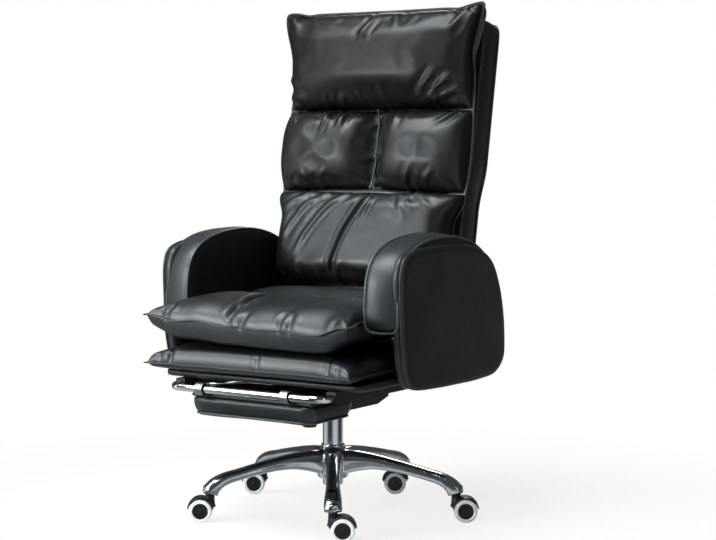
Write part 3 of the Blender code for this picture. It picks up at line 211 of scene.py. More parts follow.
def new_finish(name, roughness, metallic=0.0, mottle=None, **sockets):
    """A material with a Principled shader; sockets name its other uniform values, and
    mottle is the scale and the two shades of its soft patches."""
    made = bpy.data.materials.new(name)
    made.use_nodes = True
    tree = made.node_tree
    tree.nodes.clear()
    shader = add(tree, "ShaderNodeBsdfPrincipled",
                 {"Roughness": roughness, "Metallic": metallic,
                  **{key.replace("_", " "): value for key, value in sockets.items()}})
    add(tree, "ShaderNodeOutputMaterial", {"Surface": shader.outputs[0]})
    place = add(tree, "ShaderNodeTexCoord").outputs["Object"]
    if mottle:
        tree.links.new(mottled(tree, place, *mottle), shader.inputs["Base Color"])
    return made, tree, shader, place


def mottled(tree, place, scale, low, high):
    """Soft colour variation between two hex colours, its patches 1/scale metres wide."""
    patches = add(tree, "ShaderNodeTexNoise", {"Vector": place, "Scale": scale,
                                               "Detail": 3.0})
    shades = add(tree, "ShaderNodeValToRGB", {0: patches.outputs[0]})
    for stop, position, shade in zip(shades.color_ramp.elements, (0.32, 0.68), (low, high)):
        stop.position = position
        stop.color = linear(shade)
    return shades.outputs[0]


def bump(tree, shader, layers):
    """Stack height textures; each layer is (height, depth in metres)."""
    below = {}
    for height, depth in layers:
        relief = add(tree, "ShaderNodeBump", {"Height": height, "Distance": depth,
                                              "Strength": 1.0, **below})
        below = {"Normal": relief.outputs[0]}
    tree.links.new(relief.outputs[0], shader.inputs["Normal"])


def hard_finish(name, roughness, metallic, mottle, wear, gloss, grain, depth):
    """A plated, cast, painted or moulded surface: soft patches of two shades, a gloss
    that wear has made uneven, and a fine relief. wear and grain are the scale and the
    detail of their patterns, and gloss is the range of the roughness."""
    made, tree, shader, place = new_finish(name, roughness, metallic, mottle)
    wear_and_sheen = add(tree, "ShaderNodeTexNoise", {"Vector": place, "Scale": wear[0],
                                            "Detail": wear[1]})
    uneven = add(tree, "ShaderNodeMapRange", {0: wear_and_sheen.outputs[0], 3: gloss[0], 4: gloss[1]})
    fine = add(tree, "ShaderNodeTexNoise", {"Vector": place, "Scale": grain[0],
                                            "Detail": grain[1]})
    tree.links.new(uneven.outputs[0], shader.inputs["Roughness"])
    bump(tree, shader, ((fine.outputs[0], depth),))
    return made


def leather(name, dark, light, roughness, grain, wear_and_sheen="#2a2f31"):
    """Black bonded leather: a fine pebble grain pressed into a satin polyurethane coat.
    The grain is drawn about twice as coarse as its real 0.9 mm, so that it shows."""
    made, tree, shader, place = new_finish(name, roughness, IOR=1.50, Coat_Weight=0.12,
                                           Coat_Roughness=0.36)
    cells = add(tree, "ShaderNodeTexVoronoi", {"Vector": place, "Scale": 1 / grain,
                                               "Randomness": 0.9},
                feature="SMOOTH_F1")
    fine = add(tree, "ShaderNodeTexNoise", {"Vector": place, "Scale": 900.0, "Detail": 2.0})
    stretch = add(tree, "ShaderNodeTexNoise", {"Vector": place, "Scale": 38.0,
                                               "Detail": 3.0, "Distortion": 0.8})
    patches = add(tree, "ShaderNodeTexNoise", {"Vector": place, "Scale": 9.0,
                                               "Detail": 4.0})
    body = mottled(tree, place, 14.0, dark, light)
    # Painted highlight with wear: crests and piping, where the ridge attribute is high, are
    # painted lighter towards the last colour, in soft patches
    ridge = add(tree, "ShaderNodeAttribute", attribute_name="ridge")
    patch_share = add(tree, "ShaderNodeMapRange", {0: patches.outputs[0], 3: 0.3, 4: 0.9})
    crest_sheen_and_wear = add(tree, "ShaderNodeMath", {0: ridge.outputs["Fac"], 1: patch_share.outputs[0]},
                 operation="MULTIPLY")
    colour = add(tree, "ShaderNodeMix", {"Factor": crest_sheen_and_wear.outputs[0], 6: body,
                                         7: linear(wear_and_sheen)}, data_type="RGBA")
    tree.links.new(colour.outputs[2], shader.inputs["Base Color"])
    gloss = add(tree, "ShaderNodeMapRange", {0: patches.outputs[0], 3: roughness - 0.05,
                                             4: roughness + 0.07})
    tree.links.new(gloss.outputs[0], shader.inputs["Roughness"])
    bump(tree, shader, ((stretch.outputs[0], 0.00035), (cells.outputs[0], 0.00008),
                        (fine.outputs[0], 0.00002)))
    return made


def make_finishes():
    """Every finish of the chair, by the name that its pieces ask for."""
    finishes = {}
    finishes["seat_leather"] = leather("seat_bonded_leather", "#0c0e0f", "#131617", 0.43,
                                       0.0018)
    finishes["arm_leather"] = leather("arm_bonded_leather", "#0e1011", "#15181a", 0.46,
                                      0.0018)
    # The piping's colour for its crests is the lightest of all: a painted highlight, with wear
    finishes["piping_leather"] = leather("piping_bonded_leather", "#1a1e20", "#262b2d",
                                         0.36, 0.0016, "#4c5356")
    finishes["back_leather"] = leather("shell_bonded_leather", "#0d0f10", "#141718", 0.47,
                                       0.0020)

    # Bonded nylon thread: a round, slightly shiny black cord
    made, tree, shader, place = new_finish("black_nylon_thread", 0.45, 0.0,
                                           (60.0, "#15181a", "#24282a"))
    twist = add(tree, "ShaderNodeTexWave", {"Vector": place, "Scale": 320.0},
                bands_direction="DIAGONAL")
    bump(tree, shader, ((twist.outputs[0], 0.0002),))
    finishes["thread"] = made

    # Zinc-plated steel: grey, with a brushed, faintly blotched plate
    made, tree, shader, place = new_finish("zinc_plated_steel", 0.34, 1.0,
                                           (45.0, "#9a9ea1", "#b4b8ba"))
    drawn = add(tree, "ShaderNodeMapping", {"Vector": place, "Scale": (30.0, 600.0, 600.0)})
    lines = add(tree, "ShaderNodeTexNoise", {"Vector": drawn.outputs[0], "Scale": 1.0,
                                             "Detail": 3.0})
    brushed = add(tree, "ShaderNodeMapRange", {0: lines.outputs[0], 3: 0.26, 4: 0.44})
    tree.links.new(brushed.outputs[0], shader.inputs["Roughness"])
    bump(tree, shader, ((lines.outputs[0], 0.00008),))
    finishes["zinc"] = made

    for label, *values in (
            # Chrome plate: a mirror with a faint haze where hands have wiped it
            ("chrome", "bright_chrome_plate", 0.06, 1.0, (18.0, "#d9dcdf", "#e6e8ea"),
             (24.0, 4.0), (0.03, 0.11), (24.0, 4.0), 0.00004),
            # Polished die-cast aluminium: bright, with a buffed casting's orange peel
            ("aluminium", "polished_cast_aluminium", 0.12, 1.0,
             (20.0, "#cfd3d6", "#dfe2e4"), (16.0, 5.0), (0.07, 0.19), (90.0, 3.0), 0.00012),
            # Black powder coat: a fine even orange peel over pressed steel
            ("powder_coat", "black_powder_coat", 0.46, 0.0, (26.0, "#141516", "#1f2122"),
             (22.0, 5.0), (0.38, 0.56), (420.0, 2.0), 0.00018),
            # Moulded black nylon: satin, with the spark-eroded texture of its mould
            ("nylon", "moulded_black_nylon", 0.42, 0.0, (40.0, "#101112", "#1a1b1d"),
             (38.0, 5.0), (0.32, 0.54), (700.0, 2.0), 0.00014),
            # Pale polyurethane tread ring: smooth, faintly dirty where it meets the floor
            ("tread", "pale_polyurethane", 0.38, 0.0, (70.0, "#f0f1f2", "#fbfbfc"),
             (120.0, 4.0), (0.30, 0.48), (120.0, 4.0), 0.00010)):
        finishes[label] = hard_finish(*values)

    # Black spunbond cover under the board: a matt web of pressed fibres, dimpled all over
    made, tree, shader, place = new_finish("black_spunbond_cover", 0.85, 0.0,
                                           (180.0, "#0c0d0e", "#1a1b1c"))
    web = add(tree, "ShaderNodeTexNoise", {"Vector": place, "Scale": 500.0, "Detail": 3.0})
    dimples = add(tree, "ShaderNodeTexVoronoi", {"Vector": place, "Scale": 420.0,
                                                 "Randomness": 0.15})
    bump(tree, shader, ((dimples.outputs[0], 0.0004), (web.outputs[0], 0.0002)))
    finishes["spunbond"] = made
    return finishes


# Mesh tools
def mesh_piece(name, corners, faces, finish, smooth=True):
    """A mesh object at the origin, its faces turned outwards."""
    mesh = bpy.data.meshes.new(name)
    mesh.from_pydata([tuple(c) for c in corners], [], [tuple(f) for f in faces])
    bm = bmesh.new()
    bm.from_mesh(mesh)
    bmesh.ops.remove_doubles(bm, verts=bm.verts, dist=1e-6)
    bmesh.ops.recalc_face_normals(bm, faces=bm.faces)
    bm.to_mesh(mesh)
    bm.free()
    if smooth:
        mesh.shade_smooth()
    mesh.materials.append(finish)
    return linked(name, mesh)


def ring_faces(rings, size, closed=False, start_cap=True, end_cap=True):
    """Faces between rings of corners that were listed one ring after the other."""
    faces = []
    for i in range(rings if closed else rings - 1):
        j = (i + 1) % rings
        for k in range(size):
            m = (k + 1) % size
            faces.append((i * size + k, i * size + m, j * size + m, j * size + k))
    if start_cap and not closed:
        faces.append(tuple(range(size)))
    if end_cap and not closed:
        faces.append(tuple((rings - 1) * size + k for k in range(size)))
    return faces


def unit(vectors):
    """The same direction or directions, with a length of one."""
    return vectors / np.linalg.norm(vectors, axis=-1, keepdims=True)


def evened(path, rounds):
    """A closed row of points, each moved towards its neighbours a number of times."""
    for _ in range(rounds):
        path = (np.roll(path, 1, 0) + 2 * path + np.roll(path, -1, 0)) / 4
    return path


def settle(piece):
    """Turn a piece with modifiers into the plain mesh that they make."""
    bpy.context.view_layer.update()
    graph = bpy.context.evaluated_depsgraph_get()
    mesh = bpy.data.meshes.new_from_object(piece.evaluated_get(graph))
    old = piece.data
    piece.modifiers.clear()
    piece.data = mesh
    mesh.name = piece.name
    bpy.data.meshes.remove(old)
    return piece


def vectors_of(items, label="vector"):
    """The vectors of a mesh's corners, normals or plan points, one a row."""
    flat = np.empty(len(items) * 3)
    items.foreach_get(label, flat)
    return flat.reshape(-1, 3)


def corners_of(mesh):
    return vectors_of(mesh.vertices, "co")


def averaged(mesh, values, rounds):
    """Values of the corners, evened out between neighbours a number of times."""
    ends = np.empty(len(mesh.edges) * 2, dtype=np.int64)
    mesh.edges.foreach_get("vertices", ends)
    ends = ends.reshape(-1, 2)
    near = np.concatenate([ends, ends[:, ::-1]])
    count = np.bincount(near[:, 0], minlength=len(values))[:, None]
    for _ in range(rounds):
        total = np.stack([np.bincount(near[:, 0], values[near[:, 1], k], len(values))
                          for k in range(values.shape[1])], axis=1)
        values = 0.5 * values + 0.5 * total / count
    return values


def place_corners(mesh, corners):
    mesh.vertices.foreach_set("co", np.ascontiguousarray(corners).ravel())
    mesh.update()


def swell(piece, push):
    """Move each corner of a piece out along its normal."""
    normals = vectors_of(piece.data.vertex_normals)
    place_corners(piece.data, corners_of(piece.data) + normals * np.array(push)[:, None])


def smooth_path(points, step, closed=False):
    """Points a step apart on the smooth curve through the given ones."""
    points = [np.array(p, float) for p in points]
    count = len(points)
    fine = []
    for i in range(count if closed else count - 1):
        if closed:
            a, b, c, d = (points[(i + k) % count] for k in (-1, 0, 1, 2))
        else:
            a, b, c, d = (points[min(max(i + k, 0), count - 1)] for k in (-1, 0, 1, 2))
        for t in np.linspace(0, 1, 24, endpoint=False):
            fine.append(0.5 * (2 * b + (c - a) * t + (2 * a - 5 * b + 4 * c - d) * t * t
                               + (3 * b - a - 3 * c + d) * t ** 3))
    fine.append(points[0] if closed else points[-1])
    fine = np.array(fine)
    run = np.concatenate([[0], np.cumsum(np.linalg.norm(np.diff(fine, axis=0), axis=1))])
    cells = max(3, round(run[-1] / step))
    stations = np.linspace(0, run[-1], cells + 1)
    if closed:
        stations = stations[:-1]
    return np.stack([np.interp(stations, run, fine[:, k]) for k in range(fine.shape[1])],
                    axis=1)


def turned_frames(path, closed):
    """A sideways and an upward direction at each point, turning as little as they can."""
    ahead = np.roll(path, -1, 0) - np.roll(path, 1, 0)
    if not closed:
        ahead[0], ahead[-1] = path[1] - path[0], path[-1] - path[-2]
    ahead = unit(ahead)
    side = [unit(np.cross(ahead[0], (0.31, 0.17, 0.93)))]
    for direction in ahead[1:]:
        side.append(unit(side[-1] - direction * side[-1].dot(direction)))
    side = np.array(side)
    if closed:
        last = unit(side[-1] - ahead[0] * side[-1].dot(ahead[0]))
        up = np.cross(ahead[0], side[0])
        twist = math.atan2(last.dot(up), last.dot(side[0]))
        turn = -twist * np.arange(len(path)) / len(path)
        across = np.cross(ahead, side)
        side = side * np.cos(turn)[:, None] + across * np.sin(turn)[:, None]
    return side, np.cross(ahead, side), ahead


def rope(name, path, radius, finish, closed=False, sides=10):
    """A round cord or tube along a path, its ends closed by domes."""
    path = np.array(path, float)
    side, up, ahead = turned_frames(path, closed)
    radii = np.full(len(path), radius)
    if not closed:
        dome = np.array(((0.95, 0.35), (0.65, 0.72), (0.3, 0.93))) * radius
        start = [path[0] - ahead[0] * out for out, _ in dome]
        end = [path[-1] + ahead[-1] * out for out, _ in dome[::-1]]
        path = np.concatenate([start, path, end])
        side = np.concatenate([[side[0]] * 3, side, [side[-1]] * 3])
        up = np.concatenate([[up[0]] * 3, up, [up[-1]] * 3])
        radii = np.concatenate([dome[:, 1], radii, dome[::-1, 1]])
    angle = np.arange(sides) * math.tau / sides
    rings = (path[:, None] + radii[:, None, None]
             * (side[:, None] * np.cos(angle)[None, :, None]
                + up[:, None] * np.sin(angle)[None, :, None]))
    faces = ring_faces(len(path), sides, closed)
    return mesh_piece(name, rings.reshape(-1, 3), faces, finish)


def strip(name, path, outward, across, width, thickness, finish, closed=True):
    """A sewn double edge of leather: a thin round-nosed strip that follows a seam."""
    section = ((-0.5, -0.5), (0.2, -0.5), (0.42, -0.34), (0.5, 0.0), (0.42, 0.34),
               (0.2, 0.5), (-0.5, 0.5))
    outward, across = (np.broadcast_to(v, path.shape) for v in (outward, across))
    widths = np.broadcast_to(width, len(path))
    rings = np.array([[p + o * w * (a + 0.5) + n * thickness * b for a, b in section]
                      for p, o, n, w in zip(path, outward, across, widths)])
    faces = ring_faces(len(path), len(section), closed)
    return mesh_piece(name, rings.reshape(-1, 3), faces, finish)


def lathe(name, profile, centre, axis, finish, segments=64, flutes=0, flute_depth=0.0):
    """A turned piece: profile lists (radius, height along the axis) from end to end.
    Flutes cut finger grips into its widest part."""
    turn = Vector((0, 0, 1)).rotation_difference(Vector(axis)).to_matrix()
    corners = []
    widest = max(radius for radius, _ in profile)
    for full_radius, height in profile:
        for k in range(segments):
            a = math.tau * k / segments
            radius = full_radius
            if flutes and full_radius > 0.8 * widest:
                radius -= flute_depth * max(0.0, math.cos(flutes * a)) ** 2
            corners.append(turn @ Vector((radius * math.cos(a), radius * math.sin(a),
                                          height)) + Vector(centre))
    faces = ring_faces(len(profile), segments, start_cap=profile[0][0] > 0,
                       end_cap=profile[-1][0] > 0)
    made = mesh_piece(name, corners, faces, finish)
    made.data.set_sharp_from_angle(angle=math.radians(38))
    return made


def combine(name, pieces):
    """Join pieces into one object that keeps their finishes."""
    bpy.ops.object.select_all(action="DESELECT")
    for piece in pieces:
        piece.select_set(True)
    bpy.context.view_layer.objects.active = pieces[0]
    bpy.ops.object.join()
    made = bpy.context.view_layer.objects.active
    made.name = made.data.name = name
    return made


def dress(piece, body, slot, *nodes):
    """Fix a finished piece to its CAD body, and let it stand for CAD nodes."""
    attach(piece, body)
    if nodes:
        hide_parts(*nodes)


# Cushions
def distance_to(points, path):
    """Distance of plan points from a path, and how far along the path they lie."""
    best = np.full(len(points), 1e9)
    along = np.zeros(len(points))
    run = 0.0
    for start, end in zip(path[:-1], path[1:]):
        leg = end - start
        length = np.linalg.norm(leg)
        share = np.clip(((points - start) @ leg) / (length * length), 0, 1)
        away = np.linalg.norm(points - (start + share[:, None] * leg), axis=1)
        nearer = away < best
        best[nearer] = away[nearer]
        along[nearer] = run + share[nearer] * length
        run += length
    return best, along, run


class Cushion:
    """A stuffed cushion while it is being made. plan(u, v) gives its outline from -1
    to 1, and place(a, b, h) puts a plan point at a height over its seam in the chair."""

    def __init__(self, name, plan, rise, drop, place, cell, finish,
                 crown, under=0.18):
        self.name, self.place = name, place
        width = abs(plan(1, 0)[0] - plan(-1, 0)[0])
        depth = abs(plan(0, 1)[1] - plan(0, -1)[1])
        columns, rows = round(width / cell), round(depth / cell)
        corners, plans, index = [], [], {}
        for side in (1, -1):
            for j in range(rows + 1):
                for i in range(columns + 1):
                    edge = i in (0, columns) or j in (0, rows)
                    if side < 0 and edge:
                        index[side, i, j] = index[1, i, j]
                        continue
                    u, v = 2 * i / columns - 1, 2 * j / rows - 1
                    a, b = plan(u, v)
                    height = 0.0
                    if not edge and side > 0:
                        height = (rise(u, v, a, b) * (1 - abs(u) ** crown[2]) ** crown[0]
                                  * (1 - abs(v) ** crown[3]) ** crown[1])
                    elif not edge:
                        height = -((1 - u ** 4) * (1 - v ** 4)) ** under * drop
                    index[side, i, j] = len(corners)
                    corners.append(place(a, b, height))
                    plans.append((a, b, 0.0 if edge else float(side)))
        faces = []
        for side in (1, -1):
            for j in range(rows):
                for i in range(columns):
                    faces.append((index[side, i, j], index[side, i + 1, j],
                                  index[side, i + 1, j + 1], index[side, i, j + 1])[::side])
        self.piece = mesh_piece(name, corners, faces, finish)
        known = self.piece.data.attributes.new("plan", "FLOAT_VECTOR", "POINT")
        known.data.foreach_set("vector", np.array(plans).ravel())
        rim = [index[1, i, 0] for i in range(columns)]
        rim += [index[1, columns, j] for j in range(rows)]
        rim += [index[1, i, rows] for i in range(columns, 0, -1)]
        rim += [index[1, 0, j] for j in range(rows, 0, -1)]
        self.rim = np.array(corners)[rim]
        self.rim_plan = np.array(plans)[rim][:, :2]

    def plan(self):
        """Where each corner lies in the outline, and its side: 1 above, -1 below."""
        return vectors_of(self.piece.data.attributes["plan"].data)

    def stuff(self, held, slack, cap):
        """Blow the cover up with cloth simulation and keep its creases, which fade out
        towards the seam; the wide swell is in rise. The seams, the underside and any
        point near a held path stay sewn down; slack is the spare length of the cover,
        and cap how far a crease moves."""
        frames, fade = 20, 0.030
        plan = self.plan()
        sewn = plan[:, 2] <= 0
        for path, reach in held:
            near, _, _ = distance_to(plan[:, :2], smooth_path(path, 0.01))
            sewn |= near < reach
        group = self.piece.vertex_groups.new(name="sewn")
        group.add([int(i) for i in np.nonzero(sewn)[0]], 1.0, "REPLACE")
        cloth = self.piece.modifiers.new("stuffing", "CLOTH")
        cover = cloth.settings
        cover.quality = 5
        cover.mass = 0.35
        cover.tension_stiffness = cover.compression_stiffness = 16
        cover.shear_stiffness = 6
        cover.bending_stiffness = 6
        cover.vertex_group_mass = "sewn"
        cover.use_pressure = True
        cover.uniform_pressure_force = 3
        cover.shrink_min = -slack
        cover.effector_weights.gravity = 0
        cloth.collision_settings.use_collision = False
        cloth.point_cache.frame_start = 1
        cloth.point_cache.frame_end = frames
        before = corners_of(self.piece.data)
        for step in range(1, frames + 1):
            bpy.context.scene.frame_set(step)
        graph = bpy.context.evaluated_depsgraph_get()
        after = corners_of(self.piece.evaluated_get(graph).data)
        self.piece.modifiers.clear()
        self.piece.vertex_groups.clear()
        bpy.context.scene.frame_set(1)
        moved = after - before
        wide_swell = averaged(self.piece.data, moved, 90)
        moved = averaged(self.piece.data, moved, 2) - wide_swell
        seam_path = np.concatenate([self.rim_plan, self.rim_plan[:1]])
        from_seam, _, _ = distance_to(plan[:, :2], seam_path)
        moved *= np.clip(from_seam / fade, 0, 1)[:, None] ** 1.5
        most = np.percentile(np.linalg.norm(moved, axis=1), 98)
        place_corners(self.piece.data, before + moved * min(1.0, cap / most))

    def refine(self):
        finer = self.piece.modifiers.new("finer", "SUBSURF")
        finer.levels = finer.render_levels = 1
        settle(self.piece)

    def press(self, path, depth, width, shoulder=0.35, taper=0.02, side=1, start=None):
        """Press a fold along a path into the cover, with a raised roll beside it. It
        fades over taper at its end, and over start where it begins."""
        plan = self.plan()
        near, along, run = distance_to(plan[:, :2], smooth_path(path, 0.006))
        start = taper if start is None else start
        fade = 1.0
        if taper > 0:
            fade = (np.clip(along / max(start, 1e-4), 0, 1)
                    * np.clip((run - along) / taper, 0, 1))
            fade = fade * fade * (3 - 2 * fade)
        groove = np.exp(-(near / width) ** 2)
        roll = shoulder * np.exp(-((near - 2.1 * width) / width) ** 2)
        swell(self.piece, depth * (roll - groove) * fade * (plan[:, 2] * side > 0.02))

    def pleats(self, seam, spots, seed, length=0.055, depth=0.0038, width=0.0065,
               spray=0.5, side=1):
        """Folds that run into the cover from a seam. spots lists how far along the seam
        each starts, from 0 to 1; a negative lean turns it towards the seam's start."""
        path = smooth_path(seam, 0.004)
        chance = random.Random(seed)
        for spot in spots:
            spot, lean = spot if isinstance(spot, tuple) else (spot, 0.0)
            place = min(len(path) - 2, int(spot * (len(path) - 1)))
            ahead = unit(path[place + 1] - path[place])
            inward = np.array((-ahead[1], ahead[0]))
            turn = lean + chance.uniform(-spray, spray)
            heading = inward * math.cos(turn) + ahead * math.sin(turn)
            reach = length * chance.uniform(0.65, 1.35)
            bend = ahead * chance.uniform(-0.14, 0.14) * reach
            run = (path[place], path[place] + heading * reach * 0.5 + bend,
                   path[place] + heading * reach)
            self.press(run, depth * chance.uniform(0.6, 1.25),
                       width * chance.uniform(0.8, 1.35), 0.5, reach * 0.7, side, 0.004)

    def rumple(self, size, depth, seed, stretch=(1, 1)):
        """Low, soft undulation of a cover that has been sat on."""
        plan = self.plan()
        push = np.zeros(len(plan))
        for i in np.nonzero(np.abs(plan[:, 2]) > 0.02)[0]:
            a, b = plan[i, 0] / size / stretch[0], plan[i, 1] / size / stretch[1]
            warp = noise.noise(Vector((a * 0.6, b * 0.6, seed + 9))) * 1.3
            push[i] = depth * noise.noise(Vector((a + warp, b - warp, seed)))
        swell(self.piece, push)

    def finished(self):
        """The cushion's mesh, without the plan that its folds were placed on."""
        self.piece.data.attributes.remove(self.piece.data.attributes["plan"])
        return self.piece

    def sewn_edge(self, width, finish, wave, seed, tucked):
        """The doubled leather edge that stands out from the seam. It is tucked away
        where the cushion meets the next one below, or below and above."""
        step, thickness = 0.006, 0.0032
        path = smooth_path(self.rim, step, closed=True)
        centre = path.mean(0)
        ahead = unit(np.roll(path, -1, 0) - np.roll(path, 1, 0))
        across = unit(np.subtract(self.place(0, 0, 1), self.place(0, 0, 0)))
        outward = unit(np.cross(ahead, across))
        if np.einsum("ij,ij->i", outward, path - centre).mean() < 0:
            outward = -outward
        for _ in range(2):
            outward = unit(evened(outward, 1))
        run = np.arange(len(path)) * step
        lift = np.array([noise.noise(Vector((s * 14, seed, 2.0))) for s in run]) * wave
        path = path - outward * 0.003 + across * lift[:, None]
        lean = np.array([noise.noise(Vector((s * 11, seed, 7.0))) for s in run]) * 0.35
        outward = outward + across * lean[:, None] * (wave > 0)
        across = unit(np.cross(outward, ahead))
        if tucked:
            hidden = (outward[:, 2] < 0) | (tucked == "both")
            hidden &= np.abs(path[:, 0]) < 0.225
            width = np.where(hidden, width * np.abs(outward[:, 0]) ** 0.6, width)
        return strip(self.name + "_sewn_edge", path, outward, across, width, thickness,
                     finish)


def mark_ridges(piece):
    """Give a mesh its ridge attribute: 1 on crests and piping, 0 in hollows. It is how
    far each corner stands proud of its neighbours, and full at 0.24 mm."""
    mesh = piece.data
    corners, normals = corners_of(mesh), vectors_of(mesh.vertex_normals)
    proud = np.einsum("ij,ij->i", 2 * (corners - averaged(mesh, corners, 1)), normals)
    proud = averaged(mesh, proud[:, None], 3)[:, 0]
    # The leather finish paints crests lighter by this attribute: a painted highlight, with wear
    ridge = mesh.attributes.new("ridge", "FLOAT", "POINT")
    ridge.data.foreach_set("value", np.clip(proud * 4200, 0, 1))


def pillow_plan(half_width, low, high, draw_in):
    """A cushion's outline, its sides drawn in between the corners."""
    def plan(u, v):
        return u * (half_width - draw_in * (1 - v * v)), (low + high) / 2 + v * (high - low) / 2
    return plan


def ramp(value, low, high):
    """A smooth step from 0 at low to 1 at high."""
    share = min(1.0, max(0.0, (value - low) / (high - low)))
    return share * share * (3 - 2 * share)


def dip(value, width):
    """A smooth hump, 1 at zero and nearly gone a width away."""
    return math.exp(-(value / (width / 2)) ** 2)


def on_seat(height):
    return lambda a, b, h: (a, b, height + h)


def on_back(a, b, h):
    """A point of the back: a across, b up from the recline axis, h in front of the seam."""
    y, z = BACK_SEAM_DEPTH - h, b
    return (a, RECLINE_AXIS[1] + y * math.cos(BACK_LEAN) + z * math.sin(BACK_LEAN),
            RECLINE_AXIS[2] - y * math.sin(BACK_LEAN) + z * math.cos(BACK_LEAN))


def finish_cushion(cushion, body, finishes, edge_width, wave, seed, tucked="",
                   cord="seat_leather"):
    """Fix a cushion to its body in place of its CAD solid, and give it its sewn edge."""
    cover = cushion.finished()
    mark_ridges(cover)
    dress(cover, body, "black_leather", cushion.name.replace("_cover", ""))
    edge = cushion.sewn_edge(edge_width, finishes[cord], wave, seed, tucked)
    mark_ridges(edge)
    dress(edge, body, "black_leather")


def valley(distance, width):
    """0 in a sewn channel, rising to 1 as the padding swells on both sides of it."""
    return 1 - math.exp(-(abs(distance) / width) ** 1.3)


def upper_seat_cushion(finishes):
    """The big front roll, a sewn cross channel and the rear part that runs under the
    back, with an ear at each front corner."""
    channel_y = -0.112

    def plan(u, v):
        x, y = pillow_plan(0.243, -0.356, 0.112, 0)(u, v)
        front = ramp(-0.253 - y, 0, 0.103)
        return x + u * 0.042 * front, y - u ** 4 * 0.012 * ramp(-v, 0.6, 1)

    def place(a, b, h):
        """The front seam hangs lower between its ears."""
        front = ramp(-0.26 - b, 0, 0.09) * (1 - ramp(abs(a), 0.20, 0.275))
        sag = (0.0165 + 0.022 * a - 0.005 * dip(a + 0.145, 0.09)) * front
        return a, b, UPPER_SEAM_HEIGHT + h - sag * (1 - ramp(h, 0.012, 0.040))

    def rise(u, v, x, y):
        crease = 0.12 * dip(x + 0.035, 0.10) * ramp(-v, 0.1, 0.6)
        swell = 0.047 + 0.005 * dip(x + 0.18, 0.20) if y < channel_y else 0.055
        depth = valley(y - channel_y, 0.030 if y < channel_y else 0.044)
        rear = 1 - 0.10 * ramp(y, 0.0, 0.08)
        return swell * (0.20 + 0.80 * depth) * (1 - crease) * rear

    made = Cushion("upper_seat_cushion_cover", plan, rise, 0.066, place, 0.0062,
                   finishes["seat_leather"], (0.36, 0.42, 5, 3.4), 0.28)
    channel = ((-0.262, -0.110), (-0.14, -0.120), (0.0, -0.108), (0.13, -0.116), (0.262, -0.108))
    made.stuff([(channel, 0.006)], 0.012, 0.0030)
    made.refine()
    made.press(channel, 0.009, 0.009, 0.25, 0.0)
    made.press(((-0.020, -0.110), (-0.036, -0.17), (-0.050, -0.25), (-0.028, -0.330)),
               0.0070, 0.011, 0.45, 0.05)
    made.press(((-0.056, -0.352), (-0.052, -0.325), (-0.060, -0.290)), 0.0060, 0.009, 0.4, 0.03,
               start=0.004)
    made.pleats(channel, ((0.10, 0.5), (0.16, 0.2), (0.44, 0.3), (0.50, 0.1), (0.58, -0.2),
                          (0.72, 0.1), (0.86, -0.3)), 3, 0.045, 0.0036, spray=0.2)
    made.pleats(channel[::-1], ((0.95, 0.2), (0.78, 0.4), (0.60, 0.3), (0.52, 0),
                                (0.40, -0.2), (0.26, 0.1), (0.10, -0.3)), 4, 0.060, 0.0034)
    front_seam = ((-0.28, -0.366), (-0.14, -0.357), (0.14, -0.357), (0.28, -0.366))
    made.pleats(front_seam, (0.09, (0.47, 0.3), (0.66, 0.1), (0.72, 0.0), (0.93, -0.4),
                             (0.97, -0.6)), 5, 0.050, 0.0034)
    made.pleats(front_seam[::-1], (0.1, 0.3, 0.52, 0.56, 0.8, 0.9), 6, 0.05, 0.0025, side=-1)
    made.rumple(0.085, 0.0020, 3.0, (1.0, 1.5))
    finish_cushion(made, "seat", finishes, 0.0085, 0.003, 11.0)


def lower_seat_cushion(finishes):
    """The flatter boxed cushion underneath, with a seam near each end of its front."""
    def plan(u, v):
        x, y = pillow_plan(0.278, -0.352, 0.118, 0.008)(u, v)
        front = ramp(-v, 0.6, 1)
        return x + u ** 3 * 0.010 * front, y - u ** 4 * 0.012 * front

    def rise(u, v, x, y):
        return 0.0445

    made = Cushion("lower_seat_cushion_cover", plan, rise, 0.0195,
                   on_seat(LOWER_SEAM_HEIGHT), 0.0066, finishes["seat_leather"],
                   (0.30, 0.26, 5, 8))
    made.stuff([], 0.008, 0.0018)
    made.refine()
    for x in (-0.222, 0.222):
        seam = ((x, -0.358), (x * 1.005, -0.33), (x, -0.24))
        made.press(seam, 0.0030, 0.0040, 0.3, 0.0)
        made.pleats(seam, (0.05, 0.14, 0.24), round(x * 1000), 0.020, 0.0016, 0.004)
        made.pleats(seam[::-1], (0.95, 0.86, 0.76), 7, 0.020, 0.0016, 0.004)
    front_seam = ((-0.28, -0.362), (-0.14, -0.353), (0.14, -0.353), (0.28, -0.362))
    made.pleats(front_seam, (0.06, 0.12, 0.55, 0.88, 0.95), 8, 0.025, 0.0016)
    made.rumple(0.10, 0.0010, 5.0, (1.6, 1.2))
    finish_cushion(made, "seat", finishes, 0.0080, 0.002, 12.0)


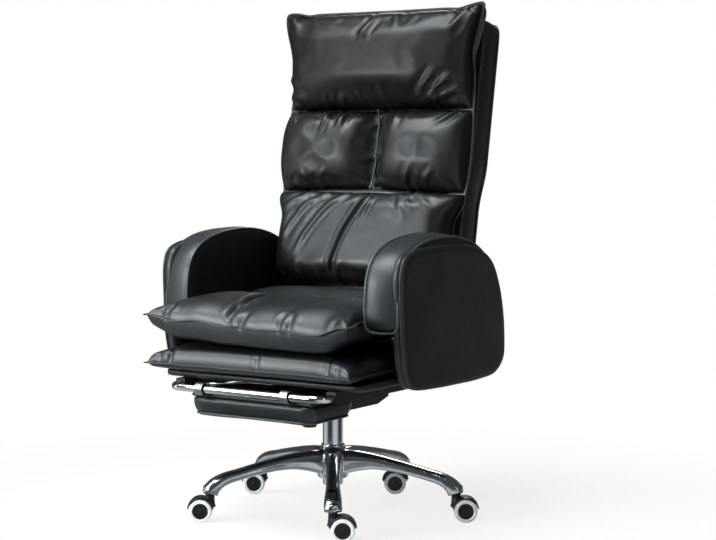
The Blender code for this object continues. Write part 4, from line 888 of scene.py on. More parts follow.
def lumbar_cushion(finishes):
    """The lowest cushion of the back, drawn into long folds from its upper corners."""
    def plan(u, v):
        x, z = pillow_plan(0.243, 0.129, 0.3672, -0.003)(u, v)
        return x + u * 0.027 * ramp(z, 0.290, 0.360), z

    def rise(u, v, x, z):
        return 0.096 * (1 - 0.22 * ramp(z, 0.16, 0.37))

    made = Cushion("lumbar_cushion_cover", plan, rise, 0.029, on_back, 0.006,
                   finishes["seat_leather"], (0.32, 0.42, 4.4, 4.6))
    made.stuff([], 0.012, 0.0030)
    made.refine()
    made.press(((0.030, 0.362), (0.004, 0.315), (-0.022, 0.262), (-0.036, 0.215),
                (-0.044, 0.165), (-0.044, 0.132)), 0.0072, 0.0052, 0.45, 0.03)
    made.press(((0.052, 0.362), (0.040, 0.325), (0.022, 0.285)), 0.0028, 0.005, 0.5, 0.03)
    for fold in (((-0.030, 0.362), (-0.085, 0.315), (-0.130, 0.255), (-0.165, 0.185)),
                 ((-0.085, 0.362), (-0.140, 0.330), (-0.185, 0.275), (-0.215, 0.215)),
                 ((-0.110, 0.362), (-0.165, 0.350), (-0.215, 0.318), (-0.240, 0.290)),
                 ((-0.145, 0.363), (-0.200, 0.361), (-0.245, 0.348)),
                 ((0.115, 0.362), (0.130, 0.330), (0.150, 0.285)),
                 ((0.128, 0.362), (0.148, 0.335), (0.168, 0.305)),
                 ((0.140, 0.362), (0.185, 0.345), (0.225, 0.310)),
                 ((0.150, 0.363), (0.200, 0.356), (0.245, 0.338)),
                 ((-0.044, 0.132), (-0.020, 0.170), (-0.015, 0.205))):
        made.press(fold, 0.0036, 0.0070, 0.5, 0.07, start=0.006)
    bottom = ((-0.235, 0.132), (-0.10, 0.131), (0.10, 0.131), (0.235, 0.132))
    made.pleats(bottom, (0.08, 0.2, 0.33, 0.55, 0.66, 0.8, 0.93), 9, 0.05, 0.0028)
    made.rumple(0.09, 0.0020, 7.0, (0.8, 1.4))
    finish_cushion(made, "back", finishes, 0.006, 0.001, 13.0, "both")


def shoulder_cushion(finishes):
    """Two puffs parted by a sewn channel down the middle."""
    middle = 0.014

    def plan(u, v):
        return pillow_plan(0.268, 0.368, 0.5762, -0.006)(u, v)

    def rise(u, v, x, z):
        return 0.078 * (0.10 + 0.90 * valley(x - middle, 0.034))

    made = Cushion("shoulder_cushion_cover", plan, rise, 0.029, on_back, 0.006,
                   finishes["seat_leather"], (0.34, 0.52, 3.4, 2.2))
    channel = ((middle, 0.368), (middle + 0.001, 0.47), (middle, 0.576))
    made.stuff([(channel, 0.006)], 0.014, 0.0035)
    made.refine()
    made.press(channel, 0.006, 0.006, 0.15, 0.0)
    made.pleats(channel, ((0.04, 0.6), (0.09, 0.4), (0.40, 0.3), (0.90, -0.5), (0.96, -0.7)), 21,
                0.055, 0.0042)
    made.pleats(channel[::-1], ((0.96, 0.7), (0.90, 0.5), (0.55, 0.1), (0.1, -0.6), (0.04, -0.7)),
                22, 0.055, 0.0042)
    bottom = ((-0.262, 0.372), (-0.12, 0.370), (0.12, 0.370), (0.262, 0.372))
    made.pleats(bottom, ((0.02, 0.9), (0.06, 0.6), (0.16, -0.7), (0.20, -0.5), (0.24, 0.2),
                         (0.74, 0.5), (0.78, 0.8), (0.83, 0.7), (0.96, -0.7)), 23, 0.065,
                0.0040)
    top = ((0.262, 0.573), (0.12, 0.574), (-0.12, 0.574), (-0.262, 0.573))
    made.pleats(top, ((0.05, 0.6), (0.28, 0.1), (0.34, -0.1), (0.62, 0.5), (0.66, 0.25),
                      (0.70, 0), (0.74, -0.25), (0.78, -0.5), (0.95, -0.7)), 24, 0.060, 0.0038)
    made.rumple(0.085, 0.0024, 11.0)
    finish_cushion(made, "back", finishes, 0.0075, 0.001, 14.0, "both",
                   "piping_leather")
    seam_bands(middle, finishes)


def seam_bands(middle, finishes):
    """The flat sewn bands that show in the valleys of the back: one down the shoulder
    channel, one across between the shoulder and the lumbar cushion."""
    heights = smooth_path(((0.372, 0.030), (0.40, 0.020), (0.47, 0.016), (0.54, 0.018),
                           (0.572, 0.030)), 0.004)
    path = np.array([on_back(middle + 0.001 * math.sin(z * 60), z, h) for z, h in heights])
    forward = np.array(on_back(0, 0, 1)) - np.array(on_back(0, 0, 0))
    down_band = strip("shoulder_seam_band", path - forward * 0.001, forward, (1, 0, 0),
                      0.0045, 0.0050, finishes["piping_leather"], closed=False)
    spans = smooth_path(((-0.170, 0.016), (-0.10, 0.026), (0.0, 0.030), (0.07, 0.026),
                         (0.130, 0.016)), 0.004)
    path = np.array([on_back(x, 0.3685 + 0.0006 * math.sin(x * 50), h) for x, h in spans])
    up = np.array(on_back(0, 1, 0)) - np.array(on_back(0, 0, 0))
    cross_band = strip("lumbar_seam_band", path, forward * 0.80 - up * 0.60,
                       forward * 0.60 + up * 0.80, 0.013, 0.0034,
                       finishes["piping_leather"], closed=False)
    for band in (down_band, cross_band):
        mark_ridges(band)
        dress(band, "back", "black_leather")


def head_cushion(finishes):
    """The loose pillow at the top. Its upper seam stands forward, with an ear at each
    corner, and its lower half rolls over the shoulder cushion."""
    def forward_of(z):
        return 0.034 * ramp(z, 0.60, 0.80)

    def plan(u, v):
        x, z = pillow_plan(0.268, 0.577, 0.820, 0.004)(u, v)
        top = ramp(v, 0, 1)
        ear = 0.019 if u > 0 else 0.012
        blunt = 0.009 * abs(u * v) ** 16 * top
        return (x + u * (0.024 * top - blunt),
                z + u ** 8 * ear * top - 0.002 * (1 - u * u) * top - blunt
                - 0.004 * dip(abs(u) - 0.76, 0.16) * top)

    def place(a, b, h):
        spare = forward_of(b)
        return on_back(a, b, h + spare if h >= 0 else spare + h * (1 + spare / 0.029))

    def rise(u, v, x, z):
        return 0.102 - forward_of(z) * 0.85

    made = Cushion("head_cushion_cover", plan, rise, 0.029, place, 0.006,
                   finishes["seat_leather"], (0.46, 0.52, 2.6, 2.2))
    made.stuff([], 0.012, 0.0030)
    made.refine()
    made.press(((0.020, 0.812), (0.006, 0.790), (-0.006, 0.762), (-0.016, 0.725)),
               0.0060, 0.0100, 0.45, 0.04)
    for fold, depth, width in (
            (((0.130, 0.592), (0.165, 0.622), (0.205, 0.675)), 0.0062, 0.0080),
            (((0.135, 0.588), (0.190, 0.615), (0.245, 0.665)), 0.0066, 0.0075),
            (((0.140, 0.585), (0.205, 0.603), (0.262, 0.630)), 0.0058, 0.0070)):
        made.press(fold, depth, width, 0.55, 0.05, start=0.03)
    for fold in (((0.255, 0.822), (0.242, 0.785), (0.215, 0.745)),
                 ((0.272, 0.812), (0.262, 0.770), (0.248, 0.720)),
                 ((-0.285, 0.825), (-0.245, 0.795), (-0.215, 0.770)),
                 ((-0.262, 0.655), (-0.235, 0.640), (-0.205, 0.622)),
                 ((-0.262, 0.610), (-0.225, 0.605), (-0.180, 0.592)),
                 ((0.060, 0.812), (0.075, 0.785), (0.078, 0.755))):
        made.press(fold, 0.0034, 0.0090, 0.5, 0.04, start=0.01)
    bottom = ((-0.262, 0.581), (-0.12, 0.580), (0.12, 0.580), (0.262, 0.581))
    made.pleats(bottom, (0.04, 0.13, 0.24, (0.33, 0.3), 0.47, 0.60, (0.86, -0.3), 0.95), 31,
                0.050, 0.0038)
    top = ((0.285, 0.832), (0.14, 0.815), (-0.14, 0.815), (-0.285, 0.832))
    made.pleats(top, (0.03, 0.12, 0.28, 0.55, 0.68, 0.84, 0.95), 32, 0.045, 0.0018)
    made.rumple(0.10, 0.0022, 14.0, (1.3, 1.0))
    finish_cushion(made, "back", finishes, 0.0095, 0.003, 15.0, "below")


def footrest_cushion(finishes):
    """The boxed pad of the footrest, hung face down, with a piping round its lower edge."""
    low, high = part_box("footrest_cushion")
    outline = rounded_plan(low[0] + 0.002, high[0] - 0.002, low[1] + 0.002, high[1] - 0.002,
                           0.034)
    tall = high[2] - low[2]
    rings = [(high[2], 0.010), (high[2] - 0.0015, 0.004), (high[2] - 0.005, 0.0010)]
    rings += [(high[2] - 0.005 - (tall - 0.014) * share,
               0.001 + 0.009 * share - 0.003 * math.sin(math.pi * share))
              for share in np.linspace(0.12, 0.88, 8)]
    rings += [(low[2] + 0.009, 0.010), (low[2] + 0.006, 0.011), (low[2] + 0.003, 0.014),
              (low[2] + 0.0015, 0.020)]
    pad = padded_slab("pad", outline, rings, (0, 0.0015), finishes["seat_leather"], lying)
    soften(pad, 0.0018, 15.0)
    edge = np.array([(a, b, low[2] + 0.0078) for a, b in inset_path(outline, 0.0095)])
    pieces = [pad, rope("pad_piping", edge, 0.0026, finishes["piping_leather"], closed=True)]
    for piece in pieces:
        mark_ridges(piece)
    cover = combine("footrest_cushion_cover", pieces)
    dress(cover, "footrest_pad", "black_leather", "footrest_cushion")


# Arms
def arm_outline(shares, above=None):
    """The arm seen from the side, as (y, z) points, cut off above a height where the
    inner pad ends."""
    depth, height = ARM_REAR - ARM_FRONT, ARM_TOP - ARM_BOTTOM
    points = [(ARM_FRONT + depth * a, ARM_BOTTOM + height * b) for a, b in shares]
    path = smooth_path(points, 0.004, closed=True)
    if above is not None:
        kept = path[path[:, 1] > above + 0.004]
        order = np.argsort(np.arctan2(kept[:, 1] - 0.58, kept[:, 0]))
        kept = kept[order]
        gaps = np.linalg.norm(np.roll(kept, -1, 0) - kept, axis=1)
        kept = np.roll(kept, -(gaps.argmax() + 1), 0)
        floor = [(kept[-1][0] * (1 - t) + kept[0][0] * t, above)
                 for t in np.linspace(0.04, 0.96, 30)]
        path = evened(np.concatenate([kept, floor]), 14)
    path = smooth_path(path, 0.006, closed=True)
    if (path[:, 0] * np.roll(path[:, 1], -1) - np.roll(path[:, 0], -1) * path[:, 1]).sum() < 0:
        path = path[::-1]
    return path


def outward_of(path):
    """Unit directions that point out of a closed anticlockwise path in a plane."""
    ahead = np.roll(path, -1, 0) - np.roll(path, 1, 0)
    return unit(np.stack([ahead[:, 1], -ahead[:, 0]], axis=1))


def inset_path(path, inset):
    """A closed path moved inwards, and evened out at its corners."""
    return evened(path - outward_of(path) * inset, 2)


def upright(depth, a, b):
    """An outline in the chair's side view, its depth across the chair."""
    return depth, a, b


def lying(depth, a, b):
    """An outline seen from above, its depth a height."""
    return a, b, depth


def padded_slab(name, outline, rings, domes, finish, place=upright):
    """A padded body between two faces. rings lists (depth, inset) from the first face to
    the last, domes is how far the middle of each face stands out past its edge, and
    place puts a depth and a point of the outline in the chair."""
    out = outward_of(outline)
    middle = outline.mean(0)
    corners = []
    shares = (0.18, 0.36, 0.54, 0.70, 0.84, 0.94)
    size = len(outline)
    lead = math.copysign(1, rings[-1][0] - rings[0][0])

    def ring(path, depth):
        corners.extend(place(depth, a, b) for a, b in path)

    first = outline - out * rings[0][1]
    last = outline - out * rings[-1][1]
    for share in shares:
        ring(middle + (first - middle) * share,
             rings[0][0] - lead * domes[0] * (1 - share ** 3))
    for x, inset in rings:
        ring(outline - out * inset, x)
    for share in reversed(shares):
        ring(middle + (last - middle) * share,
             rings[-1][0] + lead * domes[1] * (1 - share ** 3))
    count = len(corners) // size
    faces = ring_faces(count, size, start_cap=False, end_cap=False)
    for ring_start, x, dome in ((0, rings[0][0], -lead * domes[0]),
                                ((count - 1) * size, rings[-1][0], lead * domes[1])):
        hub = len(corners)
        corners.append(place(x + dome, *middle))
        faces += [(ring_start + k, ring_start + (k + 1) % size, hub) for k in range(size)]
    return mesh_piece(name, corners, faces, finish)


def crowned_band(near, far, nose, crown):
    """Rings across a band of leather between two seams, a little fuller in the middle."""
    rings = [(near, nose * 1.3), (near + math.copysign(nose * 0.3, far - near), nose * 0.4)]
    for share in np.linspace(0.06, 0.94, 9):
        rings.append((near + (far - near) * share, -crown * (1 - (2 * share - 1) ** 2)))
    rings += [(far - math.copysign(nose * 0.3, far - near), nose * 0.4), (far, nose * 1.3)]
    return rings


def soften(piece, depth, seed):
    """Low swells in a stretched cover."""
    swell(piece, [depth * noise.noise(Vector(c) * 9 + Vector((seed, 0, 0)))
                  for c in corners_of(piece.data)])


def wrinkle_band(piece, sign, seed):
    """Low creases across the band where its leather turns round the front."""
    corners, normals = corners_of(piece.data), vectors_of(piece.data.vertex_normals)
    push = np.zeros(len(corners))
    middle, half = (ARM_INNER + ARM_SPLIT) / 2, (ARM_SPLIT - ARM_INNER) / 2
    for i, (x, y, z) in enumerate(corners):
        across = abs(abs(x) - middle) / half
        if across > 1 or abs(normals[i][0]) > 0.6:
            continue
        run = y - z if y < -0.1 else y * 1.6
        drift = noise.noise(Vector((run * 6, x * 14 * sign, seed)))
        soft = noise.noise(Vector((run * 18, x * 30, seed + 4)))
        push[i] = (0.0014 * drift + 0.0007 * soft) * (1 - across ** 4)
    swell(piece, push)


def band_front(pad):
    """How far forward the inner pad reaches, just above its rounded lower corner."""
    low = pad[(pad[:, 1] > 0.500) & (pad[:, 1] < 0.520)]
    return low[:, 0].min() - 0.001


def arm(side, sign, finishes):
    """Outer side panel, upholstered band with a piping at each edge, and stitching."""
    whole = arm_outline(PANEL_OUTLINE)
    pad = arm_outline(BAND_OUTLINE, ARM_PAD_BOTTOM + 0.001)
    inner, split, outer = sign * ARM_INNER, sign * ARM_SPLIT, sign * (ARM_OUTER + 0.001)
    leather = finishes["arm_leather"]
    thick = sign * (ARM_OUTER - 0.0322)

    def swept(d, a, b):
        """The band's front and top draw back a little towards its outer piping."""
        share = (abs(d) - ARM_INNER) / (ARM_SPLIT - ARM_INNER)
        back = 0.020 * share ** 1.5 * (1 - ramp(a, ARM_FRONT, ARM_FRONT + 0.20))
        return d, a + back, b - 0.005 * share ** 2 * ramp(b, 0.60, 0.68)

    band = padded_slab(f"arm_{side}_band", pad, crowned_band(inner, split, 0.004, 0.005),
                       (0, 0), leather, swept)
    wrinkle_band(band, sign, 3.0 if sign > 0 else 8.0)
    core = padded_slab(f"arm_{side}_core", whole,
                       ((thick, 0.016), (thick + sign * 0.002, 0.009),
                        (thick + sign * 0.006, 0.005), (split - sign * 0.0005, 0.005),
                        (split, 0.008)), (0, 0), leather)
    panel_rings = [(split + sign * 0.0004, 0.011), (split + sign * 0.0018, 0.0055)]
    panel_rings += [(outer - sign * 0.0105 * (1 - math.sin(a)), 0.0035 + 0.018 * (1 - math.cos(a)))
                    for a in np.linspace(0, math.pi / 2, 9)]
    panel = padded_slab(f"arm_{side}_panel", whole, panel_rings, (0, 0), leather)
    soften(panel, 0.0016, 4.0 + sign)
    pieces = [band, core, panel]
    cord = finishes["piping_leather"]
    for label, x, path in (("inner", inner + sign * 0.0022, pad),
                           ("outer", split - sign * 0.0024, inset_path(pad, -0.0006))):
        run = [swept(x, a, b) for a, b in path]
        pieces.append(rope(f"arm_{side}_{label}_piping", run, 0.0038, cord, closed=True))
    front = band_front(pad)
    half = ((0.03, 0.0006, 0.512), (0.04, 0.0010, 0.496), (0.12, 0.0040, 0.4835),
            (0.28, 0.0085, 0.4800))
    foot = [swept(inner + (split - inner) * share, front + back, height)
            for share, back, height in (*half, *((1 - s, b, h) for s, b, h in half[::-1]))]
    pieces.append(rope(f"arm_{side}_foot_piping", smooth_path(foot, 0.003), 0.0029, cord))
    for piece in pieces:
        mark_ridges(piece)
    cover = combine(f"arm_{side}_cover", pieces)
    dress(cover, "seat", "black_leather", f"arm_{side}")
    stitch_rows = []
    for x in (inner + sign * 0.0085, split - sign * 0.0085):
        row = inset_path(pad, -0.0016)
        row = row[row[:, 1] > ARM_PAD_BOTTOM + 0.012]
        start = np.linalg.norm(np.roll(row, -1, 0) - row, axis=1).argmax() + 1
        row = np.roll(row, -start, 0)
        stitch_rows.append([swept(x, a, b) for a, b in row])
    sewn = stitches(f"arm_{side}_topstitch", stitch_rows, 0.0052, 0.0036, 0.00050,
                    finishes["thread"])
    dress(sewn, "seat", "black_leather")


# Stitches and fasteners, by Geometry Nodes
def start_tree(name, sizes):
    """A node group with inputs for a geometry, named sizes and a finish, and a geometry
    output."""
    tree = bpy.data.node_groups.new(name, "GeometryNodeTree")
    face = tree.interface
    face.new_socket("Geometry", in_out="INPUT", socket_type="NodeSocketGeometry")
    for label in sizes:
        face.new_socket(label, in_out="INPUT", socket_type="NodeSocketFloat")
    face.new_socket("Finish", in_out="INPUT", socket_type="NodeSocketMaterial")
    face.new_socket("Geometry", in_out="OUTPUT", socket_type="NodeSocketGeometry")
    return tree, add(tree, "NodeGroupInput")


def end_tree(tree, instances, given):
    """Make the instances real and smooth, give them their finish, and put them out."""
    real = add(tree, "GeometryNodeRealizeInstances", {"Geometry": instances})
    finish = add(tree, "GeometryNodeSetMaterial",
                 {"Geometry": real.outputs[0], "Material": given.outputs["Finish"]})
    soft = add(tree, "GeometryNodeSetShadeSmooth", {"Geometry": finish.outputs[0]})
    add(tree, "NodeGroupOutput", {"Geometry": soft.outputs[0]})
    return tree


def spaced_row(tree, given):
    """Points a spacing apart along every edge path, and the turn that faces along it."""
    curve = add(tree, "GeometryNodeMeshToCurve", {"Mesh": given.outputs["Geometry"]})
    row = add(tree, "GeometryNodeResampleCurve",
              {"Curve": curve.outputs[0], "Length": given.outputs["Spacing"]},
              mode="LENGTH")
    along = add(tree, "GeometryNodeInputTangent")
    turn = add(tree, "FunctionNodeAlignRotationToVector", {"Vector": along.outputs[0]},
               axis="Z")
    return {"Points": row.outputs[0], "Rotation": turn.outputs[0]}


def stitch_tree():
    """Short round threads along every edge path: spacing, length and thread radius."""
    tree, given = start_tree("stitch_row", ("Spacing", "Length", "Thread Radius"))
    bead = add(tree, "GeometryNodeMeshUVSphere", {"Segments": 6, "Rings": 5,
                                                  "Radius": 1.0})
    half = add(tree, "ShaderNodeMath", {0: given.outputs["Length"], 1: 0.5},
               operation="MULTIPLY")
    size = add(tree, "ShaderNodeCombineXYZ", {0: given.outputs["Thread Radius"],
                                              1: given.outputs["Thread Radius"],
                                              2: half.outputs[0]})
    made = add(tree, "GeometryNodeInstanceOnPoints",
               {**spaced_row(tree, given), "Instance": bead.outputs["Mesh"],
                "Scale": size.outputs[0]})
    return end_tree(tree, made.outputs[0], given)


def screw_tree():
    """Hexagon bolt heads with a washer, standing on points along their own normals."""
    tree, given = start_tree("bolt_heads", ("Head Radius", "Head Height", "Washer Radius"))
    facing = add(tree, "GeometryNodeInputNamedAttribute", {"Name": "facing"},
                 data_type="FLOAT_VECTOR")
    turn = add(tree, "FunctionNodeAlignRotationToVector", {"Vector": facing.outputs[0]},
               axis="Z")
    head = add(tree, "GeometryNodeMeshCylinder",
               {"Vertices": 6, "Radius": given.outputs["Head Radius"],
                "Depth": given.outputs["Head Height"]})
    lift = add(tree, "ShaderNodeMath", {0: given.outputs["Head Height"], 1: 0.5},
               operation="MULTIPLY")
    raised = add(tree, "ShaderNodeCombineXYZ", {2: lift.outputs[0]})
    head_up = add(tree, "GeometryNodeTransform", {"Geometry": head.outputs["Mesh"],
                                                  "Translation": raised.outputs[0]})
    washer = add(tree, "GeometryNodeMeshCylinder",
                 {"Vertices": 24, "Radius": given.outputs["Washer Radius"],
                  "Depth": 0.0012})
    low = add(tree, "GeometryNodeTransform", {"Geometry": washer.outputs["Mesh"],
                                              "Translation": (0, 0, 0.0006)})
    dome = add(tree, "GeometryNodeMeshUVSphere", {"Segments": 18, "Rings": 8,
                                                  "Radius": given.outputs["Head Radius"]})
    cap = add(tree, "GeometryNodeTransform", {"Geometry": dome.outputs["Mesh"],
                                              "Translation": raised.outputs[0],
                                              "Scale": (0.8, 0.8, 0.52)})
    bolt = add(tree, "GeometryNodeJoinGeometry", {0: head_up.outputs[0]})
    tree.links.new(low.outputs[0], bolt.inputs[0])
    tree.links.new(cap.outputs[0], bolt.inputs[0])
    made = add(tree, "GeometryNodeInstanceOnPoints",
               {"Points": given.outputs["Geometry"], "Instance": bolt.outputs[0],
                "Rotation": turn.outputs[0]})
    return end_tree(tree, made.outputs[0], given)


def grown(name, mesh, tree, sizes, finish):
    """Run a node tree on a mesh of points or paths, and keep the plain mesh it makes.
    The sizes come in the order of the tree's own inputs."""
    piece = linked(name, mesh)
    nodes = piece.modifiers.new("nodes", "NODES")
    nodes.node_group = tree
    _, *known = (item.identifier for item in tree.interface.items_tree
                 if item.in_out == "INPUT")
    for socket, value in zip(known, (*sizes, finish), strict=True):
        nodes[socket] = value
    return settle(piece)


def stitches(name, rows, spacing, length, radius, finish):
    """Rows of stitches, each along a list of points."""
    corners = np.concatenate(rows)
    edges, start = [], 0
    for row in rows:
        edges += [(start + k, start + k + 1) for k in range(len(row) - 1)]
        start += len(row)
    mesh = bpy.data.meshes.new(name)
    mesh.from_pydata([tuple(c) for c in corners], edges, [])
    if "stitch_row" not in bpy.data.node_groups:
        stitch_tree()
    return grown(name, mesh, bpy.data.node_groups["stitch_row"], (spacing, length, radius),
                 finish)


def bolts(name, places, facing, finish, head=0.006, height=0.004, washer=0.0085):
    """Bolt heads at places, all facing one way."""
    mesh = bpy.data.meshes.new(name)
    mesh.from_pydata(places, [], [])
    known = mesh.attributes.new("facing", "FLOAT_VECTOR", "POINT")
    known.data.foreach_set("vector", np.array([facing] * len(places), float).ravel())
    if "bolt_heads" not in bpy.data.node_groups:
        screw_tree()
    made = grown(name, mesh, bpy.data.node_groups["bolt_heads"], (head, height, washer),
                 finish)
    made.data.set_sharp_from_angle(angle=math.radians(40))
    return made


# Back shell
def on_shell(a, b, h):
    """A point of the shell: a across, b up from the recline axis, h behind its rear seam."""
    return on_back(a, b, BACK_SEAM_DEPTH - SHELL_REAR_SEAM - h)


def back_shell(finishes):
    """The upholstered board behind the cushions: a padded rear panel with quilting
    seams, a side gusset, and a piping along both of its edges."""
    middle, half_height = (SHELL_LOW + SHELL_HIGH) / 2, (SHELL_HIGH - SHELL_LOW) / 2

    def plan(u, v):
        corner = 0.007 * (abs(u) * abs(v)) ** 30
        z = middle + v * (half_height - corner)
        return u * (SHELL_HALF_WIDTH - corner + 0.012 * ramp(z, 0.34, 0.46)), z

    def rise(u, v, x, z):
        belly = 0.016 * (1 - v * v) + 0.006 * (1 - u * u)
        seams = min(valley(z - height, 0.016) for height in SHELL_SEAMS)
        return 0.004 + belly * (0.72 + 0.28 * seams)

    leather = finishes["back_leather"]
    made = Cushion("shell_rear_panel", plan, rise, 0.006, on_shell, 0.0085, leather,
                   (0.22, 0.22, 4, 4))
    made.refine()
    for height in SHELL_SEAMS:
        seam = ((-0.244, height), (0.0, height), (0.244, height))
        made.press(seam, 0.0030, 0.0042, 0.25, 0.0)
        made.pleats(seam, (0.06, 0.14, 0.27, 0.45, 0.58, 0.72, 0.88), 41, 0.035, 0.0012)
        made.pleats(seam[::-1], (0.1, 0.22, 0.4, 0.52, 0.7, 0.81, 0.95), 42, 0.035, 0.0012)
    made.rumple(0.10, 0.0016, 17.0)
    outline = smooth_path(made.rim_plan, 0.006, closed=True)
    if np.cross(outline[0] - outline.mean(0), outline[9] - outline.mean(0)) < 0:
        outline = outline[::-1]
    depth = SHELL_REAR_SEAM - SHELL_FRONT
    rings = [(-depth, 0.012), (-depth + 0.0005, 0.004), (-depth + 0.003, 0.0012)]
    rings += [(-depth * (1 - share), 0.0005 - 0.0035 * math.sin(share * math.pi))
              for share in np.linspace(0.08, 0.92, 9)]
    rings += [(-0.002, 0.0012), (0.0, 0.003)]
    gusset = padded_slab("shell_gusset", outline, rings, (0, 0), leather,
                         lambda d, a, b: on_shell(a, b, d))
    cord = finishes["piping_leather"]
    rear = np.array([on_shell(a, b, 0.0005) for a, b in outline])
    front = np.array([on_shell(a, b, 0.0035 - depth) for a, b in outline])
    pieces = [made.finished(), gusset, rope("rear_piping", rear, 0.0036, cord, closed=True),
              rope("front_piping", front, 0.0036, cord, closed=True)]
    for piece in pieces:
        mark_ridges(piece)
    cover = combine("back_shell_cover", pieces)
    dress(cover, "back", "black_leather", "back_shell")
    rows = []
    for height in SHELL_SEAMS:
        for offset in (-0.0085, 0.0085):
            z = height + offset
            rows.append([on_shell(x, z, shell_swell(rise, x, z, middle, half_height) + 0.0002)
                         for x in np.linspace(-0.225, 0.225, 90)])
    sewn = stitches("back_shell_topstitch", rows, 0.0056, 0.0038, 0.00055,
                    finishes["thread"])
    dress(sewn, "back", "black_leather")


def shell_swell(rise, x, z, middle, half_height):
    """How far the rear panel stands out at a point, as its cushion was crowned."""
    u, v = x / SHELL_HALF_WIDTH, (z - middle) / half_height
    return rise(u, v, x, z) * ((1 - u ** 4) * (1 - v ** 4)) ** 0.22


# Boards in their covers
def rounded_plan(left, right, front, rear, corner):
    """A rectangle with round corners, as an anticlockwise path."""
    outline = []
    for x, y, start in ((right - corner, rear - corner, 0), (left + corner, rear - corner, 90),
                        (left + corner, front + corner, 180),
                        (right - corner, front + corner, 270)):
        for step in range(7):
            a = math.radians(start + 15 * step)
            outline.append((x + corner * math.cos(a), y + corner * math.sin(a)))
    dense = []
    for start, end in zip(outline, outline[1:] + outline[:1]):
        cells = max(1, round(math.dist(start, end) / 0.008))
        dense += [np.add(start, np.subtract(end, start) * k / cells) for k in range(cells)]
    return np.array(dense)


def covered_board(name, low, high, corner, finishes):
    """A board wrapped in leather over its edges, with a spunbond sheet underneath."""
    outline = rounded_plan(low[0], high[0], low[1], high[1], corner)
    thick = high[2] - low[2]
    edge = min(0.004, thick * 0.4)
    rings = ((low[2], edge * 1.6), (low[2] + edge * 0.25, edge * 0.6), (low[2] + edge, 0),
             (high[2] - edge, 0), (high[2] - edge * 0.25, edge * 0.6),
             (high[2], edge * 1.6))
    wrap = padded_slab(name + "_wrap", outline, rings, (0, 0), finishes["seat_leather"],
                       lying)
    mark_ridges(wrap)
    sheet_rings = ((low[2] - 0.0009, 0.0165), (low[2] - 0.0004, 0.0160),
                   (low[2] + 0.0006, 0.0160))
    sheet = padded_slab(name + "_underside", outline, sheet_rings, (0, 0),
                        finishes["spunbond"], lying)
    return combine(name, [wrap, sheet]), inset_path(outline, 0.0195)


def board_covers(finishes):
    """The covered seat board with its staples, and the footrest's with a rolled hem."""
    low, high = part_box("seat_board")
    cover, staple_line = covered_board("seat_board_cover", low, high, 0.030, finishes)
    dress(cover, "seat", "black_leather", "seat_board")
    staples("seat_board_staples", staple_line, low[2] - 0.0011, "seat", finishes)
    low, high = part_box("footrest_board")
    cover, _ = covered_board("footrest_board_cover", low, high, 0.012, finishes)
    left, right = low[0] + 0.006, high[0] - 0.006
    front, rear, level = low[1] + 0.035, high[1] - 0.006, high[2] + 0.0015
    hem_path = bent([(left, front, level), (left, rear, level), (right, rear, level),
                     (right, front, level)], 0.010)
    hem = rope("footrest_board_hem", hem_path, 0.0048, finishes["seat_leather"])
    cover = combine("footrest_board_cover", [cover, hem])
    dress(cover, "footrest_pad", "black_leather", "footrest_board")


def staple_tree():
    """Flat staple crowns set along an edge path: spacing, length and wire size."""
    tree, given = start_tree("staple_row", ("Spacing", "Length", "Wire"))
    wire = add(tree, "GeometryNodeMeshCylinder",
               {"Vertices": 8, "Radius": given.outputs["Wire"],
                "Depth": given.outputs["Length"]})
    made = add(tree, "GeometryNodeInstanceOnPoints",
               {**spaced_row(tree, given), "Instance": wire.outputs["Mesh"]})
    return end_tree(tree, made.outputs[0], given)


def staples(name, path, height, body, finishes):
    """Staples round a closed path, flat against the sheet that they hold."""
    corners = [(x, y, height) for x, y in path]
    edges = [(i, (i + 1) % len(corners)) for i in range(len(corners))]
    mesh = bpy.data.meshes.new(name)
    mesh.from_pydata(corners, edges, [])
    spacing, length, wire = 0.038, 0.010, 0.0006
    made = grown(name, mesh, staple_tree(), (spacing, length, wire), finishes["zinc"])
    dress(made, body, "zinc_steel")


# Tubes, levers and turned pieces
def boxy(value, power):
    """A sine or cosine drawn out towards a square's corner."""
    return math.copysign(abs(value) ** power, value)


def bent(points, radius):
    """A path along straight legs with a round bend at each inner point."""
    points = [np.array(p, float) for p in points]
    path = [points[0]]
    for before, corner, after in zip(points[:-2], points[1:-1], points[2:]):
        into, out = unit(before - corner), unit(after - corner)
        half = math.acos(np.clip(into.dot(out), -1, 1)) / 2
        back = radius / math.tan(half)
        centre = corner + unit(into + out) * radius / math.sin(half)
        start, end = corner + into * back - centre, corner + out * back - centre
        sweep = math.pi - 2 * half
        for share in np.linspace(0, 1, 13):
            path.append(centre + (start * math.sin((1 - share) * sweep)
                                  + end * math.sin(share * sweep)) / math.sin(sweep))
    path.append(points[-1])
    fine = [path[0]]
    for a, b in zip(path[:-1], path[1:]):
        count = max(1, int(np.linalg.norm(b - a) / 0.024))
        fine += [a + (b - a) * k / count for k in range(1, count + 1)]
    return np.array(fine)


def footrest_bar(finishes):
    """The chrome U of the footrest. It tells the straps where its front leg runs."""
    low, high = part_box("footrest_frame")
    radius = (high[2] - low[2]) / 2
    height = (low[2] + high[2]) / 2
    reach, front, rear = high[0] - radius, low[1] + radius, high[1]
    corners = ((reach, rear, height), (reach, front, height), (-reach, front, height),
               (-reach, rear, height))
    bar = rope("footrest_bar", bent(corners, 0.035), radius, finishes["chrome"], sides=36)
    dress(bar, "footrest_frame", "chrome", "footrest_frame")
    return front, height


